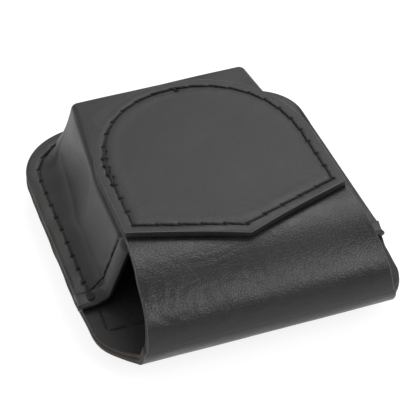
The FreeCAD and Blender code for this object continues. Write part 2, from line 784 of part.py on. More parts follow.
def hem_holes():
    """Needle holes up one wall, over the top and down the other, behind the mouth's rim."""
    plane = value("sizes.mouth + sizes.hem_inset")
    wires = pocket_outside.Shape.slice(V(0, 1, 0), plane)
    start = value(FLANGE_TOP) + value("sizes.hem_seam_lift")
    dense = []
    for wire in wires:
        dense += [point for point in wire.discretize(Distance=0.2) if point.z > start]
    centre = V(0, plane, value(FLANGE_TOP))
    dense.sort(key=lambda point: math.atan2(point.z - centre.z, point.x))
    lengths = [0.0]
    for a, b in zip(dense, dense[1:]):
        lengths.append(lengths[-1] + (b - a).Length)
    count = round(lengths[-1] / value("sizes.stitch_pitch"))
    wanted = [lengths[-1] * index / count for index in range(count + 1)]
    nearest = [min(range(len(dense)), key=lambda i: abs(lengths[i] - goal)) for goal in wanted]
    return [dense[index] for index in nearest]


def away_from_middle(middle, along):
    """Outward direction across the walls and top of the pocket."""
    across = V(0, 1, 0).cross(along)
    inside = V(0, middle.y, value(FLANGE_TOP))
    return across if across.dot(middle - inside) > 0 else across * -1


hem_seam = seam("hem_seam", stitch_row(hem_holes(), away_from_middle))


def shield_seam_rows(rise, outward):
    """Stitches round the shield on a face at a rise above the flap's own face."""
    corners, arcs = shield_outline("sizes.shield_inset")
    flat = value(FLAP_TOP) + rise
    brow = value("sizes.brow_centre")
    radius = value(BROW_RADIUS) + rise
    centre_z = value(BROW_Z)
    places = [V(value(x), value(y), 0) for x, y in corners]
    bars = []
    for index, start in enumerate(places):
        end = places[(index + 1) % len(places)]
        if index in arcs:
            curve = arc_between(start, end, value(arcs[index][0]), arcs[index][1]).toShape()
        else:
            curve = Part.LineSegment(start, end).toShape()
        holes = []
        for point in spaced(curve):
            beyond = max(0.0, brow - point.y)
            level = flat if beyond == 0 else centre_z + math.sqrt(radius ** 2 - beyond ** 2)
            holes.append(V(point.x, point.y, level))
        bars += stitch_row(holes, outward)
    return bars


shield_seam = seam("shield_seam", shield_seam_rows(value("sizes.shield_hide"), facing_up))
shield_under_seam = seam(
    "shield_under_seam", shield_seam_rows(-value("sizes.hide + sizes.lining"), facing_down)
)


def loop_seam_bars():
    """A box of stitches through each tab of the belt loop."""
    inset = value("sizes.loop_inset")
    half = value("sizes.loop_half") - inset
    tab = value("sizes.loop_tab")
    level = value("sizes.belt_gap")
    bars = []
    for edge_y, step in ((value("sizes.loop_near"), 1), (value("sizes.loop_far"), -1)):
        outer_y = edge_y + step * inset
        inner_y = edge_y + step * (tab - inset)
        corners = [V(half, outer_y, level), V(-half, outer_y, level)]
        corners += [V(-half, inner_y, level), V(half, inner_y, level)]
        bars += rows(chain(corners + corners[:1]), facing_down)
    return bars


loop_seam = seam("loop_seam", loop_seam_bars())

# ---------------------------------------------------------------------------------------------
# Check every object, then write each piece to its own file
# ---------------------------------------------------------------------------------------------
PIECES = [
    back_outer,
    back_lining,
    moulded_pocket,
    mouth_facing,
    belt_loop,
    flap_pieces["flap_front_outer"],
    flap_pieces["flap_front_lining"],
    flap_top_outer,
    flap_pieces["flap_top_lining"],
    flap_shield,
    flap_magnet,
    pocket_magnet,
    magnet_patch,
    flange_seam,
    lining_seam,
    under_seam,
    hem_seam,
    seam_knots,
    shield_seam,
    shield_under_seam,
    loop_seam,
]

doc.recompute()
for item in doc.Objects:
    if "Invalid" in item.State or "Error" in item.State:
        raise RuntimeError(f"{item.Name} did not compute: {item.State}")
os.makedirs("parts", exist_ok=True)
for piece in PIECES:
    if piece.Shape.isNull() or not piece.Shape.isValid():
        raise RuntimeError(f"{piece.Label} has no valid shape")
    piece.Shape.exportStep(f"parts/{piece.Label}.step")
    print(f"{piece.Label}: {len(piece.Shape.Solids)} solid(s), {piece.Shape.Volume:.1f} mm3")
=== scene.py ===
"""Looks of a small black leather belt pouch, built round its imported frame.

The pouch lies on its back: X runs across it, +Y runs from the flap's fold to the pocket's closed
end, and +Z is up. Every length is in metres.
"""

import logging
import math
from dataclasses import dataclass, field
from enum import Enum
from functools import cache

import bmesh
import bpy
import numpy as np
from mathutils import Matrix, Vector


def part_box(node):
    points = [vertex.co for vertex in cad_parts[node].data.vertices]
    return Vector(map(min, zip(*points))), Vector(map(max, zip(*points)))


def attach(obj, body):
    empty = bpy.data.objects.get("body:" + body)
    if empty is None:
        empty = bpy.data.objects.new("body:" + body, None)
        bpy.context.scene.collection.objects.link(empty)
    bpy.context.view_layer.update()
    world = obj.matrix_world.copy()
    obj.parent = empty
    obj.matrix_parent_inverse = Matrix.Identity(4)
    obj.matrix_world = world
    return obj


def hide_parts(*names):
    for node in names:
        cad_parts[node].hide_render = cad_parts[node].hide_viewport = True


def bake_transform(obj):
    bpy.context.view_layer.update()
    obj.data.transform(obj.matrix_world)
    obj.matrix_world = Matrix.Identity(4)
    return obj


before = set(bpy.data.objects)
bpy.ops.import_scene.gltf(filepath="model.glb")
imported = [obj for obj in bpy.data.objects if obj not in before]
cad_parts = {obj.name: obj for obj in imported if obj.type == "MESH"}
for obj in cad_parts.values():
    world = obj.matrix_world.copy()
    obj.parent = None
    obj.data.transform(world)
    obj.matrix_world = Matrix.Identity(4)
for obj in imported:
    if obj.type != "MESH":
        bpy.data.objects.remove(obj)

log = logging.getLogger("pouch")
MM = 0.001
UP = np.array([0.0, 0.0, 1.0])


class Rider(Enum):
    """The three bodies that pieces ride on."""

    POUCH = "pouch"
    FRONT = "flap_front"
    TOP = "flap_top"


class Slot(Enum):
    """Material slots of the record."""

    LEATHER = "black_leather"
    LINING = "black_lining"
    THREAD = "black_thread"
    METAL = "magnet_plating"


class Side(Enum):
    """The two sides of the pouch, as the sign of X."""

    LEFT = -1
    RIGHT = 1


class Facet(Enum):
    """Which of a sheet's four materials a face takes."""

    GRAIN = 0
    CUT = 1
    FLESH = 2
    ARRIS = 3


# ---------------------------------------------------------------------------------------------
# Shapes shared by every piece
# ---------------------------------------------------------------------------------------------
def unit(vectors: np.ndarray) -> np.ndarray:
    """Scale vectors to length one.

    Args:
        vectors: Array whose last axis holds x, y and z.

    Returns:
        Array of the same shape.
    """
    length = np.linalg.norm(vectors, axis=-1, keepdims=True)
    return vectors / np.maximum(length, 1e-12)


def ease(value: np.ndarray) -> np.ndarray:
    """Smooth step: 0 below 0, 1 above 1, and 3t^2 - 2t^3 between.

    Args:
        value: Any array.

    Returns:
        Array of the same shape.
    """
    t = np.clip(value, 0.0, 1.0)
    return t * t * (3 - 2 * t)


def bell(distance: np.ndarray, width: float) -> np.ndarray:
    """Bell curve: 1 at no distance, and 1/e at one width."""
    return np.exp(-((distance / width) ** 2))


def ripple(points: np.ndarray, wavelength: float, seed: int, waves: int = 14) -> np.ndarray:
    """Gentle unevenness: the sum of plane waves with seeded directions and phases.

    Args:
        points: Array whose last axis holds x, y and z.
        wavelength: Typical distance between two crests.
        seed: Seed of the directions and phases.
        waves: How many waves are summed.

    Returns:
        One value a point, mostly between -1 and 1.
    """
    rng = np.random.default_rng(seed)
    heading = unit(rng.normal(size=(waves, 3)))
    pace = 2 * np.pi / (wavelength * rng.uniform(0.7, 1.6, size=waves))
    phase = rng.uniform(0, 2 * np.pi, size=waves)
    turns = points @ (heading * pace[:, None]).T + phase
    return np.sin(turns).sum(axis=-1) / math.sqrt(waves)


def distance_to(points: np.ndarray, route: np.ndarray) -> np.ndarray:
    """Distance from each point to the nearest of a route's closely spaced points.

    Args:
        points: Array whose last axis holds the coordinates.
        route: Array of route points with as many coordinates.

    Returns:
        One distance a point.
    """
    flat = points.reshape(-1, points.shape[-1])
    nearest = np.full(len(flat), np.inf)
    for part in np.array_split(route, max(1, len(route) // 64)):
        gap = flat[:, None, :] - part[None, :, :]
        nearest = np.minimum(nearest, np.sqrt((gap * gap).sum(-1)).min(1))
    return nearest.reshape(points.shape[:-1])


def smoothed(keys: tuple, places: np.ndarray, spread: float) -> np.ndarray:
    """Value at each place from a short table, its corners softened.

    The table is read in straight runs, and the result is the mean of seven readings spaced evenly
    over twice the spread.

    Args:
        keys: Pairs of place and value, places increasing.
        places: Where to read.
        spread: How far the softening reaches.

    Returns:
        One value a place.
    """
    table = np.array(keys)
    shifts = np.linspace(-spread, spread, 7)
    readings = np.interp(places[None] + shifts.reshape(-1, *[1] * places.ndim), table[:, 0], table[:, 1])
    return readings.mean(axis=0)


def resample(route: np.ndarray, step: float, values: np.ndarray | None = None) -> np.ndarray:
    """Readings along a route at an even spacing near the step, both ends kept.

    Args:
        route: Points of the route, in order.
        step: Wanted spacing.
        values: What is read, one row a point; the points themselves if left out.

    Returns:
        One row a reading.
    """
    values = route if values is None else values
    travelled = np.r_[0.0, np.cumsum(np.linalg.norm(np.diff(route, axis=0), axis=1))]
    wanted = np.linspace(0, travelled[-1], max(1, int(round(travelled[-1] / step))) + 1)
    return np.stack([np.interp(wanted, travelled, column) for column in values.T], -1)


def straight_runs(corners: np.ndarray) -> list[np.ndarray]:
    """Closely spaced points of each straight run between neighbouring corners."""
    return [resample(corners[k:k + 2], 0.5 * MM) for k in range(len(corners) - 1)]


def tube(rows: int, around: int) -> tuple[np.ndarray, np.ndarray]:
    """Number the vertices of an open tube and list its faces.

    Args:
        rows: How many rings it has.
        around: How many vertices a ring has.

    Returns:
        Vertex numbers, one row a ring, and the four vertices of each face.
    """
    numbers = np.arange(rows * around).reshape(rows, around)
    following = np.roll(numbers, -1, axis=1)
    quads = np.stack([numbers[:-1], following[:-1], following[1:], numbers[1:]], -1)
    return numbers, quads.reshape(-1, 4)


def new_object(name: str, points: np.ndarray, faces: list, facets: np.ndarray) -> bpy.types.Object:
    """Closed smooth mesh object from points and faces, with doubles merged.

    Args:
        name: Name of the piece.
        points: Vertex places, one row each.
        faces: Vertex numbers of each face.
        facets: Material number of each face.

    Returns:
        The new object, in the scene.
    """
    mesh = bpy.data.meshes.new(name)
    mesh.from_pydata(points.tolist(), [], faces)
    mesh.polygons.foreach_set("material_index", facets.astype(np.int32))
    shell = bmesh.new()
    shell.from_mesh(mesh)
    bmesh.ops.remove_doubles(shell, verts=shell.verts, dist=2e-7)
    bmesh.ops.recalc_face_normals(shell, faces=shell.faces)
    shell.to_mesh(mesh)
    shell.free()
    mesh.polygons.foreach_set("use_smooth", np.ones(len(mesh.polygons), bool))
    piece = bpy.data.objects.new(name, mesh)
    bpy.context.scene.collection.objects.link(piece)
    return piece


@dataclass
class Sheet:
    """A sheet of leather: its outer face as a grid, and how far it reaches inwards.

    The inner face is the outer one moved along the inward normal. The cut edge is a band of
    rows whose section is a superellipse, from square to fully round. Its first row is the
    arris, which takes a painted highlight. Where the turned mask holds, the grain side is
    rolled over the edge instead.
    """

    face: np.ndarray
    thickness: np.ndarray
    dome: np.ndarray
    outward: float = 1.0
    folded: bool = False
    edge_rows: int = 6
    squareness: float = 0.55
    turned: np.ndarray | None = None
    normal: np.ndarray = field(init=False)

    def __post_init__(self) -> None:
        """Work out the outward normals from the grid's two directions."""
        down = np.gradient(self.face, axis=0)
        across = np.gradient(self.face, axis=1)
        self.normal = unit(np.cross(down, across)) * self.outward

    def raise_by(self, height: np.ndarray, steady: bool = False) -> None:
        """Move the outer face out along its normals.

        Args:
            height: How far, one value a grid point.
            steady: Whether to keep the old normals, as a grid that narrows to a tip needs.
        """
        self.face = self.face + self.normal * height[..., None]
        if not steady:
            self.__post_init__()

    def border(self) -> np.ndarray:
        """Row and column numbers round the edge; a folded grid leaves its welded side out.

        Returns:
            Pairs of row and column, in order.
        """
        rows, columns = self.face.shape[:2]
        row = np.arange(rows)
        column = np.arange(columns)
        if self.folded:
            start = np.stack([np.zeros(columns, int), column[::-1]], -1)
            side = np.stack([row[1:], np.zeros(rows - 1, int)], -1)
            end = np.stack([np.full(columns - 1, rows - 1), column[1:]], -1)
            return np.concatenate([start, side, end])
        near = np.stack([np.zeros(columns, int), column], -1)
        right = np.stack([row[1:], np.full(rows - 1, columns - 1)], -1)
        far = np.stack([np.full(columns - 1, rows - 1), column[-2::-1]], -1)
        left = np.stack([row[-2:0:-1], np.zeros(rows - 2, int)], -1)
        return np.concatenate([near, right, far, left])

    def build(self, name: str) -> bpy.types.Object:
        """Make the closed mesh.

        Args:
            name: Name of the piece.

        Returns:
            The new object.
        """
        rows, columns = self.face.shape[:2]
        inner = self.face - self.normal * self.thickness[..., None]
        numbers = np.arange(rows * columns).reshape(rows, columns)
        quads = np.stack([numbers[:-1, :-1], numbers[1:, :-1], numbers[1:, 1:], numbers[:-1, 1:]], -1)
        quads = quads.reshape(-1, 4)
        loop = self.border()
        top = self.face[loop[:, 0], loop[:, 1]]
        low = inner[loop[:, 0], loop[:, 1]]
        middle, half = (top + low) / 2, (top - low) / 2
        run = np.gradient(top, axis=0)
        if not self.folded:
            run = np.roll(top, -1, axis=0) - np.roll(top, 1, axis=0)
        out = unit(np.cross(run, half))
        step_in = self.face[np.clip(loop[:, 0], 1, rows - 2), np.clip(loop[:, 1], 1, columns - 2)]
        out = out * np.sign(((top - step_in) * out).sum())
        reach = np.linalg.norm(half, axis=1) * self.dome[loop[:, 0], loop[:, 1]]
        turn = np.linspace(0, np.pi, self.edge_rows + 2)[1:-1]
        rise = np.sign(np.cos(turn)) * np.abs(np.cos(turn)) ** self.squareness
        swell = np.sin(turn) ** self.squareness
        rings = middle + half * rise[:, None, None] + out * reach[:, None] * swell[:, None, None]
        base = 2 * rows * columns
        count = len(loop)
        ring_numbers = base + np.arange(self.edge_rows * count).reshape(self.edge_rows, count)
        first = numbers[loop[:, 0], loop[:, 1]][None]
        last = first + rows * columns
        ladder = np.concatenate([first, ring_numbers, last])
        following = np.roll(ladder, -1, axis=1)
        band = np.stack([ladder[:-1], ladder[1:], following[1:], following[:-1]], -1)
        if self.folded:
            band = band[:, :-1]
        band = band.reshape(-1, 4)
        points = np.concatenate([self.face.reshape(-1, 3), inner.reshape(-1, 3), rings.reshape(-1, 3)])
        faces = np.concatenate([quads, quads[:, ::-1] + rows * columns, band])
        wide = len(band) // (self.edge_rows + 1)
        edge = np.full(len(band), Facet.CUT.value)
        # The first row, the arris, takes the lighter material: a painted highlight along the edge.
        edge[:wide] = Facet.ARRIS.value
        if self.turned is not None:
            rolled = np.tile(self.turned[loop[:wide, 0], loop[:wide, 1]], self.edge_rows + 1)
            edge[rolled] = Facet.GRAIN.value
        facets = np.concatenate([
            np.full(len(quads), Facet.GRAIN.value), np.full(len(quads), Facet.FLESH.value), edge,
        ])
        return new_object(name, points, faces.tolist(), facets)


# ---------------------------------------------------------------------------------------------
# The strip of leather that runs from the back panel round to the flap's tip
# ---------------------------------------------------------------------------------------------
@dataclass(frozen=True)
class StripPath:
    """Side view of the strip's outer face, as straight runs and tangent arcs.

    The runs are: the back panel, the fold, the straight front, the tight bend, the long bend and
    the flat top. The long bend's radius is the one that makes it tangent to both neighbours.
    """

    far: float
    front: float
    floor: float
    top: float
    tip: float
    fold_radius: float = 7.2 * MM
    front_top: float = 7.4 * MM
    cheek_radius: float = 10.0 * MM
    brow_centre: float = -24.7 * MM

    @property
    def fold_start(self) -> float:
        """Where the strip starts to bend up."""
        return self.front + self.fold_radius

    @property
    def cheek(self) -> tuple[float, float]:
        """Centre of the tight bend."""
        return self.front + self.cheek_radius, self.floor + self.front_top

    @property
    def brow_radius(self) -> float:
        """Radius of the long bend."""
        reach = self.brow_centre - self.cheek[0]
        rise = self.top - self.cheek[1]
        return (reach**2 + rise**2 - self.cheek_radius**2) / (2 * (rise - self.cheek_radius))

    @property
    def lean(self) -> float:
        """Angle at which the tight bend hands over to the long one."""
        return math.atan2(self.cheek[1] - (self.top - self.brow_radius), self.brow_centre - self.cheek[0])

    def lengths(self) -> np.ndarray:
        """Lengths of the six runs, in order."""
        return np.array([
            self.far - self.fold_start,
            self.fold_radius * math.pi / 2,
            self.front_top - self.fold_radius,
            self.cheek_radius * self.lean,
            self.brow_radius * (math.pi / 2 - self.lean),
            self.tip - self.brow_centre,
        ])

    def starts(self) -> np.ndarray:
        """Arc length at which each run starts, and the whole length last."""
        return np.r_[0.0, np.cumsum(self.lengths())]

    def at(self, travel: np.ndarray, depth: float) -> tuple[np.ndarray, np.ndarray]:
        """Places on the face that lies a depth below the outer one.

        Args:
            travel: Arc length along the outer face.
            depth: Distance below the outer face.

        Returns:
            y and z of each place.
        """
        marks = self.starts()
        run = np.clip(np.searchsorted(marks, travel, side="right") - 1, 0, 5)
        past = travel - marks[run]
        fold = past / self.fold_radius
        tight = past / self.cheek_radius
        wide = self.lean + past / self.brow_radius
        cheek_y, cheek_z = self.cheek
        brow_z = self.top - self.brow_radius
        fold_z = self.floor + self.fold_radius
        in_fold, in_tight, in_wide = (
            self.fold_radius - depth, self.cheek_radius - depth, self.brow_radius - depth
        )
        y = np.choose(run, [
            self.far - past,
            self.fold_start - in_fold * np.sin(fold),
            np.full_like(past, self.front + depth),
            cheek_y - in_tight * np.cos(tight),
            self.brow_centre - in_wide * np.cos(wide),
            self.brow_centre + past,
        ])
        z = np.choose(run, [
            np.full_like(past, self.floor + depth),
            fold_z - in_fold * np.cos(fold),
            fold_z + past,
            cheek_z + in_tight * np.sin(tight),
            brow_z + in_wide * np.sin(wide),
            np.full_like(past, self.top - depth),
        ])
        return y, z


@dataclass(frozen=True)
class Arch:
    """Plan of the flap's tongue: straight flanks, two flank arcs and a tip arc, all tangent."""

    half: float
    corner: float
    tip: float
    shoulder: float = -0.8 * MM
    flank_radius: float = 36.0 * MM

    @property
    def tip_radius(self) -> float:
        """Radius of the tip arc that is tangent to the flank arcs."""
        rise = self.tip - self.shoulder
        gap = self.flank_radius - self.half
        return (self.flank_radius**2 - gap**2 - rise**2) / (2 * (self.flank_radius - rise))

    def join(self, inset: float = 0.0) -> tuple[float, float]:
        """Place where a flank arc meets the tip arc.

        Args:
            inset: Distance from the edge.

        Returns:
            x and y of the place.
        """
        gap = self.flank_radius - self.half
        centre = self.tip - self.tip_radius
        reach = math.hypot(gap, centre - self.shoulder)
        radius = self.tip_radius - inset
        return radius * gap / reach, centre + radius * (centre - self.shoulder) / reach

    def half_width(self, y: np.ndarray, inset: float = 0.0) -> np.ndarray:
        """Half width at y, set in from the edge.

        Args:
            y: Places along the pouch.
            inset: Distance from the edge.

        Returns:
            Half widths.
        """
        flank = self.flank_radius - inset
        tip = self.tip_radius - inset
        centre = self.tip - self.tip_radius
        side = self.half - self.flank_radius + np.sqrt(
            np.maximum(flank**2 - np.maximum(y - self.shoulder, 0) ** 2, 0)
        )
        cap = np.sqrt(np.maximum(tip**2 - np.maximum(y - centre, 0) ** 2, 0))
        return np.where(y < self.join(inset)[1], side, cap)


@dataclass(frozen=True)
class Seam:
    """A run of stitches: where its holes are and which way the leather faces."""

    holes: np.ndarray
    up: np.ndarray

    @classmethod
    def along(cls, routes: list[np.ndarray], ups: list[np.ndarray], pitch: float = 5.0 * MM) -> "Seam":
        """Place stitches along several routes, each started afresh at its first point.

        Args:
            routes: Points of each route.
            ups: Outward direction for each route's points, or one for all of them.
            pitch: Length of a stitch.

        Returns:
            The seam, as start and end holes.
        """
        pairs, directions = [], []
        for route, up in zip(routes, ups):
            both = np.concatenate([route, np.broadcast_to(up, route.shape)], -1)
            spots = resample(route, pitch, both)
            pairs.append(np.stack([spots[:-1, :3], spots[1:, :3]], 1))
            directions.append(unit(spots[:-1, 3:] + spots[1:, 3:]))
        return cls(np.concatenate(pairs), np.concatenate(directions))

    def joined(self, other: "Seam") -> "Seam":
        """This seam and another as one."""
        return Seam(np.concatenate([self.holes, other.holes]), np.concatenate([self.up, other.up]))

    @property
    def needle_holes(self) -> np.ndarray:
        """Every hole, as points."""
        return self.holes.reshape(-1, 3)


@dataclass
class Thread:
    """Waxed two-ply thread laid as separate stitches."""

    radius: float = 0.29 * MM
    rise: float = 0.05 * MM
    dip: float = 0.48 * MM
    around: int = 10
    along: int = 13
    slant: float = 0.16 * MM
    seed: int = 3

    def build(self, name: str, seam: Seam) -> bpy.types.Object:
        """Sweep a twisted two-lobed section along every stitch.

        The centre line is rise - (rise + dip) * |2t - 1|^5 above the chord, so a stitch lies flat
        and dives into both of its holes.

        Args:
            name: Name of the piece.
            seam: Where the stitches go.

        Returns:
            The new object.
        """
        rng = np.random.default_rng(self.seed)
        start, end = seam.holes[:, 0], seam.holes[:, 1]
        forward = unit(end - start)
        side = unit(np.cross(seam.up, forward))
        count = len(start)
        lean = rng.uniform(0.5, 1.0, size=(count, 1)) * self.slant
        start = start + side * lean
        end = end - side * lean
        t = np.linspace(0.02, 0.98, self.along)
        lift = self.rise - (self.rise + self.dip) * np.abs(2 * t - 1) ** 5
        lift = lift[None, :] * rng.uniform(0.75, 1.15, size=(count, 1))
        line = start[:, None] * (1 - t)[None, :, None] + end[:, None] * t[None, :, None]
        line = line + seam.up[:, None] * lift[..., None]
        turn = np.linspace(0, 2 * np.pi, self.around, endpoint=False)
        twist = 2 * np.pi * (t * 2.6)[None, :, None] + rng.uniform(0, 6, size=(count, 1, 1))
        lobes = 1 + 0.16 * np.cos(2 * turn[None, None] - twist)
        taper = 1 - 0.45 * np.abs(2 * t - 1) ** 8
        reach = self.radius * lobes * taper[None, :, None]
        across = side[:, None, None] * (np.cos(turn)[None, None] * reach)[..., None]
        upward = seam.up[:, None, None] * (np.sin(turn)[None, None] * reach)[..., None]
        rings = line[:, :, None] + across + upward
        numbers, quads = tube(self.along, self.around)
        offsets = (np.arange(count) * numbers.size)[:, None, None]
        walls = (quads[None] + offsets).reshape(-1, 4).tolist()
        ends = np.stack([numbers[0, ::-1], numbers[-1]])
        caps = (ends[None] + offsets).reshape(-1, self.around).tolist()
        facets = np.zeros(len(walls) + len(caps))
        return new_object(name, rings.reshape(-1, 3), walls + caps, facets)

    def sew(self, name: str, seam: Seam, finishes: "Finishes") -> bpy.types.Object:
        """Build the stitches and dress them as thread.

        Args:
            name: Name of the piece.
            seam: Where the stitches go.
            finishes: The pouch's materials.

        Returns:
            The new object.
        """
        return dress(self.build(name, seam), Slot.THREAD, finishes.thread)


def pressed(points: np.ndarray, seam: Seam, route: np.ndarray) -> np.ndarray:
    """How far the leather is drawn down by a seam: a shallow channel and a dent at each hole.

    Args:
        points: Places on the leather.
        seam: The seam's holes.
        route: Closely spaced points of the seam's line.

    Returns:
        Heights, zero or less.
    """
    width = 0.6 * MM
    from_line = distance_to(points, route)
    channel = -0.11 * MM * bell(from_line, width)
    dent = -0.20 * MM * bell(distance_to(points, seam.needle_holes), width)
    puff = 0.05 * MM * bell(from_line - 2.2 * MM, 1.1 * MM)
    return channel + dent + puff


def mark_holes(piece: bpy.types.Object, seams: list[Seam]) -> None:
    """Store on each vertex the vector from its nearest needle hole, flattened onto the leather.

    The part along the seam's outward direction is left out, so the vector's length is the
    distance measured along the surface. The finish paints hole shade where it is short.

    Args:
        piece: A finished piece.
        seams: The seams whose holes are in it.
    """
    holes = np.concatenate([seam.needle_holes for seam in seams])
    ups = np.concatenate([np.repeat(seam.up, 2, axis=0) for seam in seams])
    count = len(piece.data.vertices)
    places = np.empty(count * 3)
    piece.data.vertices.foreach_get("co", places)
    places = places.reshape(-1, 3)
    nearest = np.concatenate([
        ((part[:, None] - holes[None]) ** 2).sum(-1).argmin(1) for part in np.array_split(places, 64)
    ])
    away = places - holes[nearest]
    away -= (away * ups[nearest]).sum(-1, keepdims=True) * ups[nearest]
    layer = piece.data.attributes.new("from_hole", "FLOAT_VECTOR", "POINT")
    layer.data.foreach_set("vector", away.astype(np.float32).ravel())


# ---------------------------------------------------------------------------------------------
# Finishes
# ---------------------------------------------------------------------------------------------
def add_node(tree: bpy.types.NodeTree, kind: str, inputs: dict | None = None, **settings) -> bpy.types.Node:
    """Add a shader node.

    Args:
        tree: Tree that takes the node.
        kind: Its type, without the leading ShaderNode.
        inputs: Values of its sockets, by name or number.
        **settings: Values of its own properties.

    Returns:
        The new node.
    """
    node = tree.nodes.new("ShaderNode" + kind)
    for key, value in settings.items():
        setattr(node, key, value)
    for key, value in (inputs or {}).items():
        node.inputs[key].default_value = value
    return node


def wire(tree: bpy.types.NodeTree, *links: tuple) -> None:
    """Link sockets, each link given as node, output, node and input."""
    for source, output, target, entry in links:
        tree.links.new(source.outputs[output], target.inputs[entry])


def start_group(name: str, inputs: dict[str, float], output: str) -> tuple:
    """Open a node group with float inputs and one float output.

    Args:
        name: Name of the group.
        inputs: Default value of each input.
        output: Name of the output.

    Returns:
        The tree, its input node and its output node.
    """
    tree = bpy.data.node_groups.new(name, "ShaderNodeTree")
    for label, default in inputs.items():
        socket = tree.interface.new_socket(label, in_out="INPUT", socket_type="NodeSocketFloat")
        socket.default_value = default
    tree.interface.new_socket(output, in_out="OUTPUT", socket_type="NodeSocketFloat")
    return tree, tree.nodes.new("NodeGroupInput"), tree.nodes.new("NodeGroupOutput")


@cache
def grain_group() -> bpy.types.NodeTree:
    """Pebbled leather grain: cells with rounded tops, broken up by two sizes of noise.

    Returns:
        A group with the inputs Cells and Creases and the output Height.
    """
    tree, given, result = start_group("leather_grain", {"Cells": 1500.0, "Creases": 0.5}, "Height")
    place = add_node(tree, "TexCoord")
    warp = add_node(tree, "TexNoise", {"Scale": 420.0, "Detail": 3.0})
    bend = add_node(tree, "VectorMath", {1: (0.0009, 0.0009, 0.0009)}, operation="MULTIPLY_ADD")
    cells = add_node(tree, "TexVoronoi", feature="DISTANCE_TO_EDGE")
    pores = add_node(tree, "TexNoise", {"Scale": 2600.0, "Detail": 4.0})
    folds = add_node(tree, "TexNoise", {"Scale": 130.0, "Detail": 5.0, "Distortion": 1.2})
    crease = add_node(tree, "Math", {1: 0.5}, operation="SUBTRACT")
    ridge = add_node(tree, "Math", operation="ABSOLUTE")
    line = add_node(tree, "MapRange", {"From Max": 0.045}, interpolation_type="SMOOTHSTEP")
    valley = add_node(tree, "MapRange", {"From Max": 0.22}, interpolation_type="SMOOTHSTEP")
    weight = add_node(tree, "Math", operation="MULTIPLY")
    fine = add_node(tree, "Math", {1: 0.35}, operation="MULTIPLY_ADD")
    total = add_node(tree, "Math", operation="ADD")
    wire(
        tree,
        (place, "Object", warp, "Vector"), (warp, "Color", bend, 0), (place, "Object", bend, 2),
        (bend, "Vector", cells, "Vector"), (given, "Cells", cells, "Scale"),
        (place, "Object", pores, "Vector"), (bend, "Vector", folds, "Vector"),
        (folds, "Fac", crease, 0), (crease, 0, ridge, 0), (ridge, 0, line, "Value"),
        (cells, "Distance", valley, "Value"), (line, "Result", weight, 0), (given, "Creases", weight, 1),
        (pores, "Fac", fine, 0), (valley, "Result", fine, 2), (fine, 0, total, 0), (weight, 0, total, 1),
        (total, 0, result, "Height"),
    )
    return tree


@cache
def hole_shade_group() -> bpy.types.NodeTree:
    """Painted shade at needle holes, as dark rounds: one well inside the radius, falling to zero at it.

    Returns:
        A group with the input Radius and one output, the mask of the painted hole shade.
    """
    tree, given, result = start_group("needle_holes", {"Radius": 0.4 * MM}, "PaintedShade")
    away = add_node(tree, "Attribute", attribute_name="from_hole")
    length = add_node(tree, "VectorMath", operation="LENGTH")
    inside = add_node(tree, "Math", {1: 0.7}, operation="MULTIPLY")
    mask = add_node(tree, "MapRange", {"To Min": 1.0, "To Max": 0.0}, interpolation_type="SMOOTHSTEP")
    wire(
        tree,
        (away, "Vector", length, 0), (given, "Radius", inside, 0), (inside, 0, mask, "From Min"),
        (given, "Radius", mask, "From Max"), (length, "Value", mask, "Value"),
        (mask, "Result", result, "PaintedShade"),
    )
    return tree


@cache
def patches_group() -> bpy.types.NodeTree:
    """Slow cloudy variation, as handling leaves on leather.

    Returns:
        A group with the input Size and the output Cloud.
    """
    tree, given, result = start_group("handling_patches", {"Size": 60.0}, "Cloud")
    place = add_node(tree, "TexCoord")
    cloud = add_node(tree, "TexNoise", {"Detail": 6.0})
    spread = add_node(tree, "MapRange", {"From Min": 0.3, "From Max": 0.7})
    wire(
        tree,
        (place, "Object", cloud, "Vector"), (given, "Size", cloud, "Scale"), (cloud, "Fac", spread, "Value"),
        (spread, "Result", result, "Cloud"),
    )
    return tree


@dataclass(frozen=True)
class Leather:
    """A leather finish: handling mixes two shades and moves the gloss, and a grain gives relief."""

    name: str
    dark: tuple[float, float, float]
    light: tuple[float, float, float]
    roughness: float = 0.42
    roughness_spread: float = 0.10
    cells: float = 1500.0
    creases: float = 0.4
    relief: float = 0.00004
    specular: float = 0.43
    cloud_size: float = 70.0
    hole_shade_radius: float = 0.70 * MM
    stitched: bool = False

    def make(self) -> bpy.types.Material:
        """Build the material.

        Returns:
            The new material.
        """
        material = bpy.data.materials.new(self.name)
        material.use_nodes = True
        tree = material.node_tree
        shader = tree.nodes["Principled BSDF"]
        shader.inputs["Specular IOR Level"].default_value = self.specular
        cells = {"Cells": self.cells, "Creases": self.creases}
        grain = add_node(tree, "Group", cells, node_tree=grain_group())
        cloud = add_node(tree, "Group", {"Size": self.cloud_size}, node_tree=patches_group())
        shade = add_node(tree, "Mix", {"A": (*self.dark, 1.0), "B": (*self.light, 1.0)}, data_type="RGBA")
        gloss_values = {1: self.roughness_spread, 2: self.roughness}
        gloss = add_node(tree, "Math", gloss_values, operation="MULTIPLY_ADD")
        bump = add_node(tree, "Bump", {"Strength": 1.0, "Distance": self.relief})
        wire(
            tree,
            (cloud, "Cloud", shade, "Factor"), (cloud, "Cloud", gloss, 0),
            (grain, "Height", bump, "Height"), (bump, "Normal", shader, "Normal"),
        )
        colour, roughness = shade, gloss
        # Painted shade: round each needle hole the colour is mixed towards near black, standing in for the
        # shade inside the hole.
        if self.stitched:
            hole = add_node(tree, "Group", {"Radius": self.hole_shade_radius}, node_tree=hole_shade_group())
            colour = add_node(tree, "Mix", {"B": (0.001, 0.001, 0.001, 1.0)}, data_type="RGBA")
            roughness = add_node(tree, "Math", {1: 0.55}, operation="MULTIPLY_ADD")
            wire(
                tree,
                (hole, "PaintedShade", colour, "Factor"), (shade, "Result", colour, "A"),
                (hole, "PaintedShade", roughness, 0), (gloss, 0, roughness, 2),
            )
        wire(tree, (colour, "Result", shader, "Base Color"), (roughness, 0, shader, "Roughness"))
        return material


